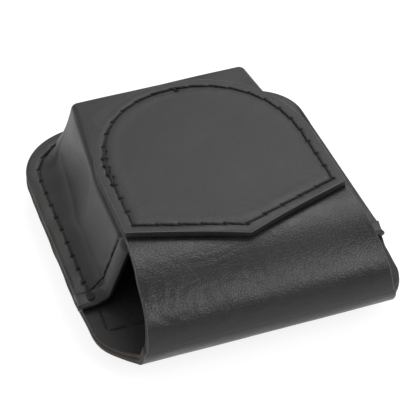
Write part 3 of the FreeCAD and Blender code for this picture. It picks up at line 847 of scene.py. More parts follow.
@dataclass(frozen=True)
class Plating:
    """Dull nickel plating with a fine brushed unevenness."""

    name: str = "magnet_nickel"
    colour: tuple[float, float, float] = (0.55, 0.54, 0.52)
    roughness: float = 0.28
    roughness_spread: float = 0.15
    cloud_size: float = 900.0

    def make(self) -> bpy.types.Material:
        """Build the material.

        Returns:
            The new material.
        """
        material = bpy.data.materials.new(self.name)
        material.use_nodes = True
        tree = material.node_tree
        shader = tree.nodes["Principled BSDF"]
        shader.inputs["Base Color"].default_value = (*self.colour, 1.0)
        shader.inputs["Metallic"].default_value = 1.0
        cloud = add_node(tree, "Group", {"Size": self.cloud_size}, node_tree=patches_group())
        gloss_values = {1: self.roughness_spread, 2: self.roughness}
        gloss = add_node(tree, "Math", gloss_values, operation="MULTIPLY_ADD")
        wire(tree, (cloud, "Cloud", gloss, 0), (gloss, 0, shader, "Roughness"))
        return material


@dataclass(frozen=True)
class Finishes:
    """Every material of the pouch."""

    smooth: bpy.types.Material
    creased: bpy.types.Material
    moulded: bpy.types.Material
    lining: bpy.types.Material
    flesh: bpy.types.Material
    cut: bpy.types.Material
    raw: bpy.types.Material
    # Material of the arris: a painted highlight.
    worn: bpy.types.Material
    thread: bpy.types.Material
    plating: bpy.types.Material

    @classmethod
    def make(cls) -> "Finishes":
        """Build all of them.

        Returns:
            The set of materials.
        """
        black = (0.006, 0.006, 0.0064)
        faded = (0.010, 0.010, 0.0105)
        return cls(
            smooth=Leather(
                "shield_leather", black, faded, 0.40, 0.06, 2200.0, 0.25, 0.000014, stitched=True
            ).make(),
            creased=Leather("flap_leather", black, faded, 0.31, 0.10, 1300.0, 0.6, 0.000020).make(),
            moulded=Leather(
                "pocket_leather", (0.006, 0.0055, 0.005), (0.012, 0.011, 0.0098), 0.33, 0.10, 1900.0, 0.35,
                0.000018, stitched=True,
            ).make(),
            lining=Leather(
                "lining_leather", (0.012, 0.012, 0.012), (0.019, 0.019, 0.019), 0.55, 0.1, 1500.0, 0.4,
                0.00004,
            ).make(),
            flesh=Leather(
                "flesh_side", (0.026, 0.025, 0.024), (0.045, 0.042, 0.039), 0.8, 0.1, 2600.0, 0.2, 0.00006
            ).make(),
            cut=Leather(
                "burnished_edge", (0.004, 0.004, 0.004), (0.010, 0.0095, 0.009), 0.45, 0.2, 2600.0, 0.5,
                0.00006,
            ).make(),
            raw=Leather(
                "plain_edge", (0.012, 0.010, 0.009), (0.055, 0.045, 0.036), 0.6, 0.2, 2600.0, 0.5, 0.00008
            ).make(),
            # Painted highlight: a lighter line along each sheet's arris, standing in for light catching its
            # rounded edge.
            worn=Leather(
                "worn_arris", (0.032, 0.030, 0.027), (0.14, 0.130, 0.116), 0.5, 0.15, 2600.0, 0.4, 0.00004
            ).make(),
            thread=Leather(
                "black_thread", (0.0025, 0.0025, 0.0025), (0.006, 0.006, 0.006), 0.5, 0.15, 6000.0, 0.0,
                0.00002,
            ).make(),
            plating=Plating().make(),
        )


# ---------------------------------------------------------------------------------------------
# Sub-assemblies
# ---------------------------------------------------------------------------------------------
def box_of(node: str) -> tuple[np.ndarray, np.ndarray]:
    """Lowest and highest corner of a frame node, as arrays."""
    low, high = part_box(node)
    return np.array(low), np.array(high)


def dress(piece: bpy.types.Object, slot: Slot, *materials: bpy.types.Material) -> bpy.types.Object:
    """Give a piece its materials.

    Args:
        piece: The object.
        slot: Not used.
        *materials: Materials in the order of the piece's material numbers.

    Returns:
        The same object.
    """
    for material in materials:
        piece.data.materials.append(material)
    return piece


@dataclass(frozen=True)
class PanelOutline:
    """Plan of the back panel, a little uneven from hand cutting.

    Each side is an edge that runs straight from a round far corner, and is then read from a short
    table of y and distance from the middle where it turns in to the fold.
    """

    far: float
    left: float = 38.5 * MM
    right: float = 37.7 * MM
    left_corner: float = 18.0 * MM
    right_corner: float = 13.5 * MM
    left_near: tuple = (
        (-44.9, 30.3), (-41.4, 30.4), (-40.2, 31.0), (-38.5, 32.4), (-36.4, 34.3), (-35.0, 35.5),
        (-33.4, 36.5), (-31.4, 37.2), (-28.5, 37.7), (-24.0, 37.9), (-17.0, 38.5), (60.0, 38.5),
    )
    right_near: tuple = (
        (-44.9, 30.3), (-41.4, 30.6), (-39.8, 32.3), (-37.8, 34.1), (-36.0, 35.2), (-33.6, 35.9),
        (-30.0, 36.1), (-25.5, 36.4), (-22.5, 37.2), (-17.0, 37.7), (60.0, 37.7),
    )

    def edge(self, y: np.ndarray, side: Side) -> np.ndarray:
        """Distance of the panel's edge from the middle.

        Args:
            y: Places along the pouch.
            side: Which side.

        Returns:
            Distances.
        """
        keys = self.left_near if side is Side.LEFT else self.right_near
        radius = self.corner(side)[1]
        table = tuple((place * MM, reach * MM) for place, reach in keys)
        beyond = np.clip(y - (self.far - radius), 0, radius)
        return smoothed(table, y, 0.9 * MM) - radius + np.sqrt(radius**2 - beyond**2)

    def corner(self, side: Side) -> tuple[float, float]:
        """Half width and far corner's radius of one side."""
        if side is Side.LEFT:
            return self.left, self.left_corner
        return self.right, self.right_corner


@dataclass
class Strip:
    """The bent strip in two layers: back panel, fold, front, bends and tongue."""

    finishes: Finishes
    step: float = 0.5 * MM
    fold_halves: tuple[float, float] = (30.3 * MM, 29.9 * MM)
    front_half: float = 29.3 * MM
    curl_half: float = 28.4 * MM
    tip_short: float = 1.0 * MM
    narrowest: float = 0.2 * MM
    glue: float = 0.01 * MM
    edge_dome: float = 0.35
    overlap_share: float = 0.5
    fold_reach: tuple[float, float] = (5.1 * MM, 3.3 * MM)
    curl_reach: tuple[float, float] = (5.6 * MM, 9.5 * MM)
    path: StripPath = field(init=False)
    arch: Arch = field(init=False)
    outline: PanelOutline = field(init=False)
    hide: float = field(init=False)
    lining: float = field(init=False)
    split: float = field(init=False)

    def __post_init__(self) -> None:
        """Read the driving sizes from the frame."""
        low, high = box_of("back_outer")
        lining_low, lining_high = box_of("back_lining")
        top_high = box_of("flap_top_outer")[1]
        front_low = box_of("flap_front_outer")[0]
        self.hide = float(high[2] - low[2])
        self.lining = float(lining_high[2] - lining_low[2])
        tip = float(top_high[1]) - self.tip_short
        self.path = StripPath(
            far=float(high[1]), front=float(front_low[1]), floor=float(low[2]), top=float(top_high[2]),
            tip=tip,
        )
        self.arch = Arch(half=float(box_of("flap_shield")[1][0]), corner=-21.8 * MM, tip=tip)
        self.outline = PanelOutline(far=self.path.far)
        marks = self.path.starts()
        self.split = float(marks[2] + (marks[3] - marks[2]) * self.overlap_share)

    def half_width(self, travel: np.ndarray, side: Side) -> np.ndarray:
        """Distance of one side's edge from the middle, along the strip.

        It is the panel's outline as far as the fold. Beyond the fold it narrows steadily to the
        shield's corners, and then follows the arch.

        Args:
            travel: Arc length along the outer face.
            side: Which side.

        Returns:
            Distances.
        """
        marks = self.path.starts()
        y, _ = self.path.at(travel, 0.0)
        corner = marks[5] + self.arch.corner - self.path.brow_centre
        turned = (marks[1] + marks[2]) / 2
        keys = [turned, marks[2], marks[3], marks[4], corner, marks[6]]
        widths = [*self.fold_halves, self.front_half, self.curl_half, self.arch.half, self.arch.half]
        band = np.interp(travel, keys, widths)
        on_top = (travel > corner) & (y > self.arch.shoulder)
        band = np.where(on_top, self.arch.half_width(y), band)
        return np.where(travel < turned, self.outline.edge(y, side), band)

    def rows(self, start: float, end: float) -> np.ndarray:
        """Arc lengths of the grid's rows, closer together where the outline turns quickly.

        Args:
            start: First arc length.
            end: Last arc length.

        Returns:
            Increasing arc lengths.
        """
        marks = self.path.starts()
        even = np.linspace(start, end, int((end - start) / self.step) + 1)
        turn = 1 - np.sin(np.linspace(0, np.pi / 2, 44))
        extra = [even]
        if start < marks[1]:
            extra.append(self.outline.left_corner * turn)
        if end > marks[6] - 1e-9:
            extra.append(marks[6] - self.arch.tip_radius * turn)
        rows = np.unique(np.concatenate(extra))
        rows = rows[(rows >= start) & (rows <= end)]
        rows = rows[np.r_[True, np.diff(rows) > 0.03 * MM]]
        rows[-1] = end
        return rows

    def grid(self, start: float, end: float, depth: float, inset: float, columns: int) -> np.ndarray:
        """Face of one layer between two arc lengths.

        Args:
            start: First arc length.
            end: Last arc length.
            depth: Depth below the outer face.
            inset: How far the layer's edge is set in.
            columns: Number of grid columns.

        Returns:
            Grid of points.
        """
        travel = self.rows(start, end)
        y, z = self.path.at(travel, depth)
        left = np.maximum(self.half_width(travel, Side.LEFT) - inset, self.narrowest)[:, None]
        right = np.maximum(self.half_width(travel, Side.RIGHT) - inset, self.narrowest)[:, None]
        share = np.linspace(-1, 1, columns)
        share = (share * (1 + 0.12 * (1 - share**2)))[None]
        x = np.where(share < 0, left, right) * share
        y, z = (np.broadcast_to(v[:, None], x.shape) for v in (y, z))
        uneven = 0.07 * MM * ripple(np.stack([x, y, z], -1), 9 * MM, 21) * np.abs(share) ** 6
        return np.stack([x + uneven, y, z], -1)

    def creases(self, sheet: Sheet) -> np.ndarray:
        """Fold wrinkles across the flap's front and bends.

        Ridges are -|w|^0.8 of a warped ripple w, and are strongest towards the left. They and a
        broad swell lie round the front, and fade out where the strip is split in two.

        Args:
            sheet: The layer to crease.

        Returns:
            Heights.
        """
        points = sheet.face
        y, z = points[..., 1], points[..., 2]
        warp = ripple(points, 12 * MM, 5)[..., None] * 1.8 * MM
        along = points * np.array([0.30, 1.0, 1.0]) + warp
        ridged = -np.abs(ripple(along, 4.4 * MM, 8)) ** 0.8
        fine = -np.abs(ripple(points * np.array([0.6, 1.0, 1.0]) + warp, 2.3 * MM, 11)) ** 0.8
        broad = ripple(points, 20 * MM, 9)
        fold_z = self.path.at(np.array([self.split]), 0.0)[1][0]
        fade = ease((np.abs(z - fold_z) + np.maximum(y - self.path.front - 3 * MM, 0)) / (3.0 * MM) - 0.15)
        bend = bell(y + 40 * MM, 9 * MM) * ease((z - self.path.floor) / (6 * MM))
        left = 0.35 + 0.65 * ease(0.5 - points[..., 0] / (30 * MM))
        return fade * bend * (left * (0.085 * MM * ridged + 0.040 * MM * fine) + 0.13 * MM * broad)

    def layer(self, start: float, end: float, depth: float, thick: float, inset: float,
              columns: int) -> Sheet:
        """One layer of the strip as a sheet.

        Args:
            start: First arc length.
            end: Last arc length.
            depth: Depth of its outer face.
            thick: Its thickness.
            inset: How far its edge is set in.
            columns: Number of grid columns.

        Returns:
            The sheet.
        """
        face = self.grid(start, end, depth, inset, columns)
        shape = face.shape[:2]
        return Sheet(face, np.full(shape, thick), np.full(shape, self.edge_dome), outward=-1.0)

    def build(self) -> list[bpy.types.Object]:
        """Make both layers, each in a lower and an upper part.

        Returns:
            The four pieces.
        """
        end = float(self.path.starts()[-1])
        made = self.finishes
        inner, thin = self.hide + self.glue, self.lining - self.glue
        lower = self.layer(0.0, self.split, 0.0, self.hide, 0.0, 151)
        lower.raise_by(self.creases(lower))
        upper = self.layer(self.split, end, 0.0, self.hide, 0.0, 151)
        upper.raise_by(self.creases(upper))
        plan = (
            ("back_hide", lower, Slot.LEATHER, (made.creased, made.raw, made.flesh, made.worn),
             ("back_outer", "flap_front_outer")),
            ("back_lining_sheet", self.layer(0.0, self.split, inner, thin, 0.12 * MM, 131), Slot.LINING,
             (made.lining, made.raw, made.lining, made.worn), ("back_lining", "flap_front_lining")),
            ("flap_hide", upper, Slot.LEATHER, (made.creased, made.cut, made.flesh, made.worn),
             ("flap_top_outer", "flap_front_outer")),
            ("flap_lining_sheet", self.layer(self.split, end, inner, thin, 0.15 * MM, 121), Slot.LINING,
             (made.lining, made.cut, made.lining, made.cut), ("flap_top_lining", "flap_front_lining")),
        )
        pieces = []
        for name, sheet, slot, materials, nodes in plan:
            piece = dress(sheet.build(name), slot, *materials)
            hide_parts(*nodes)
            pieces.append(piece)
        return pieces

    def hang(self, pieces: list[bpy.types.Object]) -> None:
        """Bake each piece's placement into its mesh, the lower two and then the upper two.

        Args:
            pieces: The four pieces, in the order that build makes them.
        """
        for piece in pieces[:2]:
            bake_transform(piece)
        for piece in pieces[2:]:
            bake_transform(piece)


@dataclass
class Shield:
    """Overlay on the flap: an arch with a shallow V at its near end, and its seam."""

    finishes: Finishes
    strip: Strip
    apex: float = -30.7 * MM
    inset: float = 2.4 * MM
    step: float = 0.42 * MM
    columns: int = 127
    tack_places: tuple = (-4.6 * MM, -0.9 * MM, 2.6 * MM, 5.4 * MM)
    tack_length: float = 2.6 * MM
    loose_end: tuple = (0.6 * MM, (0.5 * MM, -1.2 * MM))

    @property
    def thick(self) -> float:
        """Thickness of the overlay."""
        return float(box_of("flap_shield")[1][2]) - self.strip.path.top

    def height(self, y: np.ndarray, rise: float) -> np.ndarray:
        """Height of the flap's face plus a rise, flat and then down the long bend.

        Args:
            y: Places along the pouch.
            rise: Distance above the flap's face.

        Returns:
            Heights.
        """
        path = self.strip.path
        radius = path.brow_radius + rise
        beyond = np.maximum(path.brow_centre - y, 0)
        return path.top - path.brow_radius + np.sqrt(radius**2 - beyond**2)

    def near_edge(self, x: np.ndarray, inset: float = 0.0) -> np.ndarray:
        """The V at the overlay's near end.

        Args:
            x: Places across the pouch.
            inset: Distance from the edge.

        Returns:
            y at each place.
        """
        corner = self.strip.arch.corner
        slope = (corner - self.apex) / self.strip.arch.half
        return self.apex + inset * math.hypot(1, slope) + slope * np.abs(x)

    def face(self) -> np.ndarray:
        """Outer face: columns share out the arch's width, rows run from the V to the arch's tip.

        Returns:
            Grid of points.
        """
        arch = self.strip.arch
        straight = np.linspace(0, 1, int((arch.shoulder - arch.corner) / self.step))
        turn = np.sin(np.linspace(0, np.pi / 2, 110))
        rise = arch.tip - arch.shoulder
        share = np.linspace(-1, 1, self.columns)
        share = share * (1 + 0.10 * (1 - share**2))
        low = self.near_edge(arch.half * share)
        near = low[None] + (arch.shoulder - low)[None] * straight[:, None]
        far = np.broadcast_to((arch.shoulder + rise * turn[1:])[:, None], (len(turn) - 1, self.columns))
        y = np.concatenate([near, far])
        half = np.maximum(arch.half_width(y), 0.2 * MM)
        x = half * share[None]
        return np.stack([x, y, self.height(y, self.thick)], -1)

    def route(self, rise: float) -> list[np.ndarray]:
        """The seam's line on a face at a rise, as the arch with its flanks and the two legs.

        Args:
            rise: Distance above the flap's outer face.

        Returns:
            Four routes: the right flank and arch to the tip, the right leg, and the same on the left.
        """
        arch = self.strip.arch
        side = arch.half - self.inset
        corner_y = float(self.near_edge(np.array(side), self.inset))
        tip = arch.tip - self.inset
        flank = np.linspace(corner_y, arch.shoulder, 30)
        bow = arch.shoulder + (tip - arch.shoulder) * np.sin(np.linspace(0, np.pi / 2, 90))
        y = np.r_[flank, bow[1:]]
        x = np.r_[np.full(len(flank), side), arch.half_width(bow[1:], self.inset)]
        x[-1] = 0.0
        leg_x = np.linspace(side, 0, 40)
        leg_y = self.near_edge(leg_x, self.inset)
        routes = []
        for sign in (1, -1):
            routes.append(np.stack([sign * x, y, self.height(y, rise)], -1))
            routes.append(np.stack([sign * leg_x, leg_y, self.height(leg_y, rise)], -1))
        return routes

    def tacks(self) -> Seam:
        """Doubled stitches where the thread was started at the left, and its loose end by the tip.

        Returns:
            A few crooked stitches beside the main seam.
        """
        arch = self.strip.arch
        y = np.array(self.tack_places)
        start = np.stack([-arch.half_width(y, self.inset) - 0.35 * MM, y], -1)
        far = y + self.tack_length
        end = np.stack([-arch.half_width(far, self.inset) + 0.40 * MM, far], -1)
        loose_x, loose_run = self.loose_end
        reach = math.sqrt((arch.tip_radius - self.inset) ** 2 - loose_x**2)
        loose = np.array([loose_x, arch.tip - arch.tip_radius + reach])
        plan = np.stack([
            np.concatenate([start, [loose]]), np.concatenate([end, [loose + np.array(loose_run)]]),
        ], 1)
        holes = np.concatenate([plan, self.height(plan[..., 1:], self.thick)], -1)
        return Seam(holes, np.broadcast_to(UP, (len(holes), 3)))

    def build(self) -> list[bpy.types.Object]:
        """Make the overlay and its stitches, above and below.

        Returns:
            The pieces.
        """
        face = self.face()
        shape = face.shape[:2]
        sheet = Sheet(face, np.full(shape, self.thick - 0.01 * MM), np.full(shape, 0.25), outward=-1.0,
                      squareness=0.42)
        routes = self.route(self.thick)
        seam = Seam.along(routes, [UP] * 4).joined(self.tacks())
        line = np.concatenate([resample(route, 0.5 * MM) for route in routes])
        swell = 0.05 * MM * ripple(face, 24 * MM, 31) + 0.010 * MM * ripple(face, 7 * MM, 33)
        from_edge = np.minimum(
            self.strip.arch.half_width(face[..., 1]) - np.abs(face[..., 0]),
            face[..., 1] - self.near_edge(face[..., 0]),
        )
        sheet.raise_by(swell * ease(from_edge / (3 * MM)) + pressed(face, seam, line), steady=True)
        overlay = sheet.build("shield_overlay")
        made = self.finishes
        dress(overlay, Slot.LEATHER, made.smooth, made.cut, made.flesh, made.worn)
        mark_holes(overlay, [seam])
        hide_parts("flap_shield")
        stitches = Thread(seed=41).sew("shield_stitches", seam, made)
        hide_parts("shield_seam")
        below = self.route(-(self.strip.hide + self.strip.lining))
        under_seam = Seam.along(below, [-UP] * 4)
        under = Thread(seed=42, rise=-0.12 * MM).sew("shield_stitches_under", under_seam, made)
        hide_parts("shield_under_seam")
        pieces = [overlay, stitches, under]
        for piece in pieces:
            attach(piece, Rider.TOP.value)
        return pieces


@dataclass
class MouldedPocket:
    """The pocket: flange, flare, leaning walls, rounded top, and the turned hem at its mouth.

    The face is a grid. One direction runs round the pocket, from the mouth up one side, round the
    closed end and back. The other runs across it, from the flange's edge up to the middle line.
    """

    finishes: Finishes
    outline: PanelOutline
    shift: float = -0.45 * MM
    half: float = 32.4 * MM
    far: float = 39.9 * MM
    top_half: float = 26.4 * MM
    top_far: float = 36.3 * MM
    far_slant: float = 0.017
    waist: float = 2.7 * MM
    taper: float = 0.095
    ledge: float = 2.4 * MM
    tuck: dict[Side, float] = field(default_factory=lambda: {Side.LEFT: 0.0, Side.RIGHT: 0.7 * MM})
    base_corner: float = 5.5 * MM
    top_corner: float = 1.2 * MM
    corner_spread: float = 3.4 * MM
    side_flare: float = 4.6 * MM
    far_flare: float = 3.2 * MM
    side_edge: float = 1.7 * MM
    far_edge: float = 0.7 * MM
    hem: float = 4.5 * MM
    hem_extra: float = 0.8 * MM
    hem_reach: float = 5.2 * MM
    flange_inset: float = 3.1 * MM
    counts: tuple[int, int, int, int, int] = (12, 16, 26, 9, 26)
    side_rows: int = 108
    hide: float = 1.1 * MM
    low: np.ndarray = field(init=False)
    high: np.ndarray = field(init=False)
    flange_top: float = field(init=False)

    def __post_init__(self) -> None:
        """Read the driving sizes from the frame."""
        self.low, self.high = box_of("moulded_pocket")
        self.flange_top = float(self.low[2]) + self.hide

    def profile(self, outer: float, foot: float, crest: float, flare: float, edge: float) -> np.ndarray:
        """Section across one wall: distance from the middle line, and height.

        The parts are: flange, flare arc, straight leaning wall, rounded edge, and flat top. Every
        section has the same number of points in each part.

        Args:
            outer: Distance of the flange's edge.
            foot: Where the wall's line meets the flange.
            crest: Where the wall's line meets the top.
            flare: Radius of the flare.
            edge: Radius of the top's edge.

        Returns:
            Distance and height of each point.
        """
        flange, arc, wall, rounding, top = self.counts
        base, roof = self.flange_top, float(self.high[2])
        lean = math.atan2(foot - crest, roof - base)
        turn = math.pi / 2 - lean
        start = foot - math.tan(lean) * flare * (1 - math.cos(turn)) + flare * math.sin(turn)
        sweep = np.linspace(0, turn, arc)
        flat = np.linspace(outer, start, flange, endpoint=False)
        flare_d, flare_z = start - flare * np.sin(sweep), base + flare * (1 - np.cos(sweep))
        inner = crest - edge * math.tan(turn / 2)
        back = np.linspace(turn, 0, rounding)
        edge_d, edge_z = inner + edge * np.sin(back), roof - edge + edge * np.cos(back)
        share = np.linspace(0, 1, wall + 2)[1:-1]
        wall_d = flare_d[-1] + (edge_d[0] - flare_d[-1]) * share
        wall_z = flare_z[-1] + (edge_z[0] - flare_z[-1]) * share
        roof_d = np.linspace(inner, 0, top + 1)[1:]
        distance = np.r_[flat, flare_d, wall_d, edge_d, roof_d]
        height = np.r_[np.full(flange, base), flare_z, wall_z, edge_z, np.full(top, roof)]
        return np.stack([distance, height], -1)

    def soft_taper(self, y: np.ndarray) -> np.ndarray:
        """How far the sides draw in: zero before the waist, then steady, with a soft start.

        Args:
            y: Places along the pouch.

        Returns:
            Distances, to be scaled by the taper.
        """
        reach = 6 * MM
        past = y - self.waist
        soft = (past + reach) ** 2 / (4 * reach)
        return np.where(past < -reach, 0.0, np.where(past > reach, past, soft))

    def half_face(self, side: Side) -> np.ndarray:
        """Outer face of one half of the pocket, with x counted outwards from the middle.

        The rows run straight up the side, round the corner on a rational quadratic arc, and in
        to the middle line. The corner's arc swells outwards over the flare.

        Args:
            side: Which half.

        Returns:
            Grid of points.
        """
        edge, flange_corner = self.outline.corner(side)
        lead = self.shift * side.value
        wing = self.profile(edge, self.half + lead, self.top_half + lead, self.side_flare, self.side_edge)
        end = self.profile(float(self.high[1]), self.far, self.top_far, self.far_flare, self.far_edge)
        flange, arc, wall, _, top = self.counts
        spine = self.top_far - 24 * MM
        end[-top:, 0] = np.linspace(end[-top - 1, 0], spine, top + 1)[1:]
        levels = np.arange(len(wing))
        climb = ease((levels - flange * 0.5) / (arc + flange * 0.5))
        rate = self.taper * climb
        rate[-top:] *= np.linspace(1, 0, top)
        corner = np.interp(
            levels,
            [0, flange, flange + arc, flange + arc + wall, len(wing) - top, len(wing) - 1],
            [flange_corner, flange_corner - self.ledge, self.base_corner, self.top_corner, self.top_corner,
             0.2 * MM],
        )
        spread = self.corner_spread * bell(levels - flange - 0.8 * arc, 0.7 * arc)
        spread = spread * ease((levels - flange) / (0.4 * arc))
        half, far = wing[:, 0], end[:, 0]
        mouth = float(self.low[1])
        bend_y = far - corner
        count_corner, count_end = 26, 30
        along = np.linspace(0, 1, self.side_rows) ** 1.08
        near_rows = mouth + (bend_y - mouth)[None] * along[:, None]
        side_x = half[None] - rate[None] * self.soft_taper(near_rows)
        a = np.stack([side_x[-1], bend_y], -1)
        sharp = np.stack([half - rate * self.soft_taper(far), far], -1)
        b = np.stack([np.maximum(sharp[:, 0] - corner, 0), far], -1)
        sharp = sharp + spread[:, None] * math.sqrt(0.5)
        t = np.linspace(0, 1, count_corner)[1:, None, None]
        weight = 2 * t * (1 - t) * 0.72
        curve = ((1 - t) ** 2 * a + weight * sharp + t**2 * b) / ((1 - t) ** 2 + weight + t**2)
        across = np.linspace(1, 0, count_end)[1:, None]
        end_x = b[None, :, 0] * across
        x = np.concatenate([side_x, curve[..., 0], end_x])
        y = np.concatenate([near_rows, curve[..., 1], np.broadcast_to(far[None], end_x.shape)])
        share = np.concatenate([np.zeros(self.side_rows), ease(t[:, 0, 0]), np.ones(count_end - 1)])[:, None]
        z = wing[None, :, 1] * (1 - share) + end[None, :, 1] * share
        y = y + self.far_slant * side.value * x * ease(y / (25 * MM)) * climb[None]
        tuck = 1 - ease((y - mouth) / (5 * MM))
        x = x - self.tuck[side] * tuck * (1 - climb[None])
        return np.stack([x, y, z], -1)

    def face(self) -> np.ndarray:
        """Outer face of the pocket: the right half, and the left half in the opposite order."""
        left = self.half_face(Side.LEFT)[-2::-1] * np.array([-1.0, 1.0, 1.0])
        return np.concatenate([self.half_face(Side.RIGHT), left])

    def flange_route(self, height: float, lowest: float) -> np.ndarray:
        """Line of the flange's seam, from one end of the mouth round to the other.

        Args:
            height: z of the whole line.
            lowest: y of both of its ends.

        Returns:
            Closely spaced points.
        """
        turn = np.linspace(0, np.pi / 2, 24)
        far = float(self.high[1]) - self.flange_inset
        halves = []
        for side in Side:
            half, corner = self.outline.corner(side)
            half, radius = half - self.flange_inset, corner - self.flange_inset
            bend = np.stack([half - radius + radius * np.cos(turn), far - radius + radius * np.sin(turn)], -1)
            halves.append(np.concatenate([[[half, lowest]], bend]) * np.array([side.value, 1.0]))
        plan = np.concatenate([halves[1], halves[0][::-1]])
        return resample(np.column_stack([plan, np.full(len(plan), height)]), 0.5 * MM)

    def settle(self, points: np.ndarray, face: np.ndarray) -> np.ndarray:
        """Lower or lift points onto the flange, to the nearest point of the face seen from above.

        Args:
            points: Points near the flange.
            face: The pocket's outer face.

        Returns:
            The points at their new heights.
        """
        flat = face.reshape(-1, 3)
        outer = flat[flat[:, 2] < self.flange_top + 2 * MM]
        order = [int(np.argmin(((outer[:, :2] - p[:2]) ** 2).sum(-1))) for p in points]
        return np.column_stack([points[:, :2], outer[order, 2]])

    def hem_route(self, face: np.ndarray) -> tuple[np.ndarray, np.ndarray]:
        """Line of the hem's seam across walls and top, with its outward directions.

        Args:
            face: The pocket's outer face.

        Returns:
            Points and directions.
        """
        mouth = float(self.low[1])
        first = self.counts[0] + 4
        halves = []
        for grid in (face[:self.side_rows, first:], face[:-self.side_rows - 1:-1, first:]):
            row = np.argmin(np.abs(grid[..., 1] - (mouth + self.hem)), axis=0)
            halves.append(grid[row, np.arange(grid.shape[1])])
        line = np.concatenate([halves[0], halves[1][-2::-1]])
        line[:, 1] = mouth + self.hem
        run = np.gradient(line, axis=0)
        return line, unit(np.cross(np.array([0.0, 1.0, 0.0]), run)) * np.array([1.0, 0.0, 1.0])

    def build(self) -> list[bpy.types.Object]:
        """Make the shell, its seams and its knots.

        Returns:
            The pieces.
        """
        face = self.face()
        mouth = float(self.low[1])
        shape = face.shape[:2]
        flange, arc = self.counts[:2]
        level = np.arange(shape[1])
        walls = ease((level - flange - arc * 0.35) / (arc * 0.5))[None]
        behind = face[..., 1] - mouth
        near = 1 - ease((behind - self.hem_reach) / (0.5 * MM))
        thickness = self.hide + self.hem_extra * near
        rim = np.zeros(shape, bool)
        rim[[0, -1]] = True
        sheet = Sheet(face, thickness, np.where(rim, 0.95, 0.35), outward=1.0, folded=True, squareness=0.8,
                      turned=rim)
        if sheet.normal[40, flange + arc + 8, 0] < 0:
            sheet.outward = -1.0
            sheet.__post_init__()
        route = self.settle(self.flange_route(self.flange_top, mouth + 2.7 * MM), face)
        seam = Seam.along([route], [UP])
        hem_line, hem_up = self.hem_route(face)
        hem_seam = Seam.along([hem_line], [hem_up])
        rolled = np.sin(np.pi * np.clip(behind / self.hem, 0, 1)) ** 0.8
        lift = self.hem_extra * (1 - ease((behind - self.hem + 1.2 * MM) / (1.2 * MM))) * (1 - walls)
        roll = 0.5 * MM * rolled * (0.35 + 0.65 * walls)
        edge = ease(np.minimum(level / 3.0, 1.0))[None]
        crisp = 1 - 0.8 * bell(level - level[-1] + self.counts[-1] + 4, 7.0)
        uneven = (0.14 * MM * ripple(face, 19 * MM, 51) + 0.05 * MM * ripple(face, 8 * MM, 52)) * edge
        uneven = uneven * crisp[None]
        pinch = -0.34 * MM * bell(behind - self.hem, 0.55 * MM) * walls
        inward = 0.5 * MM * walls * np.sin(np.pi * np.clip(
            (face[..., 2] - self.flange_top) / (self.high[2] - self.flange_top), 0, 1)) ** 2
        settled = ease((behind - self.hem) / (6 * MM))
        dents = pressed(face, seam, route) + pressed(face, hem_seam, hem_line) * 0.5
        sheet.raise_by(roll + lift + pinch + uneven * settled - inward * settled * 0.5 + dents)
        shell = sheet.build("pocket_shell")
        made = self.finishes
        dress(shell, Slot.LEATHER, made.moulded, made.cut, made.flesh, made.worn)
        mark_holes(shell, [seam, hem_seam])
        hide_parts("moulded_pocket", "mouth_facing")
        around = Thread(seed=55).sew("flange_stitches", seam, made)
        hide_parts("flange_seam")
        hem = Thread(seed=56, rise=0.08 * MM).sew("hem_stitches", hem_seam, made)
        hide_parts("hem_seam")
        pieces = [shell, around, hem, self.knots()]
        for piece in pieces:
            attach(piece, Rider.POUCH.value)
        return pieces

    def knots(self) -> bpy.types.Object:
        """Back-tacked thread over the rim at both ends of the mouth.

        Returns:
            The new object.
        """
        mouth = float(self.low[1])
        top, floor = self.flange_top + self.hem_extra, float(self.low[2])
        starts, ends = [], []
        for side in (1, -1):
            half = self.outline.corner(Side(side))[0] - self.flange_inset
            for shift in (0.0, 0.65 * MM, -0.55 * MM):
                over = [side * (half + shift * 0.7), mouth + 0.5 * MM, top + 0.15 * MM]
                starts += [[side * (half + shift), mouth + 2.9 * MM, top], over]
                ends += [over, [side * (half + shift * 0.5), mouth - 0.45 * MM, floor + 0.5 * MM]]
        holes = np.stack([np.array(starts), np.array(ends)], 1)
        ups = np.broadcast_to(UP, (len(starts), 3))
        knots = Thread(seed=57, radius=0.40 * MM, rise=0.16 * MM, dip=0.1 * MM, slant=0.1 * MM)
        piece = knots.sew("rim_knots", Seam(holes, ups), self.finishes)
        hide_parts("seam_knots")
        return piece


@dataclass
class BackSeams:
    """Stitches across the lining in front of the mouth, and all round the underside."""

    finishes: Finishes
    pocket: MouldedPocket
    cross_y: float = -30.1 * MM
    cross_half: float = 34.5 * MM

    def apron(self, height: float) -> list[np.ndarray]:
        """The three straight runs in front of the mouth.

        Args:
            height: z of the runs.

        Returns:
            Closely spaced points of each run.
        """
        near = float(self.pocket.low[1]) - 1.0 * MM
        corners = np.array([
            [self.cross_half, near], [self.cross_half, self.cross_y],
            [-self.cross_half, self.cross_y], [-self.cross_half, near],
        ])
        return straight_runs(np.column_stack([corners, np.full(4, height)]))

    def build(self) -> list[bpy.types.Object]:
        """Make both seams.

        Returns:
            The pieces.
        """
        lining_top = float(self.pocket.low[2])
        panel_floor = float(box_of("back_outer")[0][2])
        across = Seam.along(self.apron(lining_top), [UP] * 3)
        above = Thread(seed=61).sew("lining_stitches", across, self.finishes)
        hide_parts("lining_seam")
        ring = self.pocket.flange_route(panel_floor, float(self.pocket.low[1]))
        routes = [ring, *self.apron(panel_floor)]
        below = Thread(seed=62).sew("underside_stitches", Seam.along(routes, [-UP] * 4), self.finishes)
        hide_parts("under_seam")
        for piece in (above, below):
            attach(piece, Rider.POUCH.value)
        return [above, below]


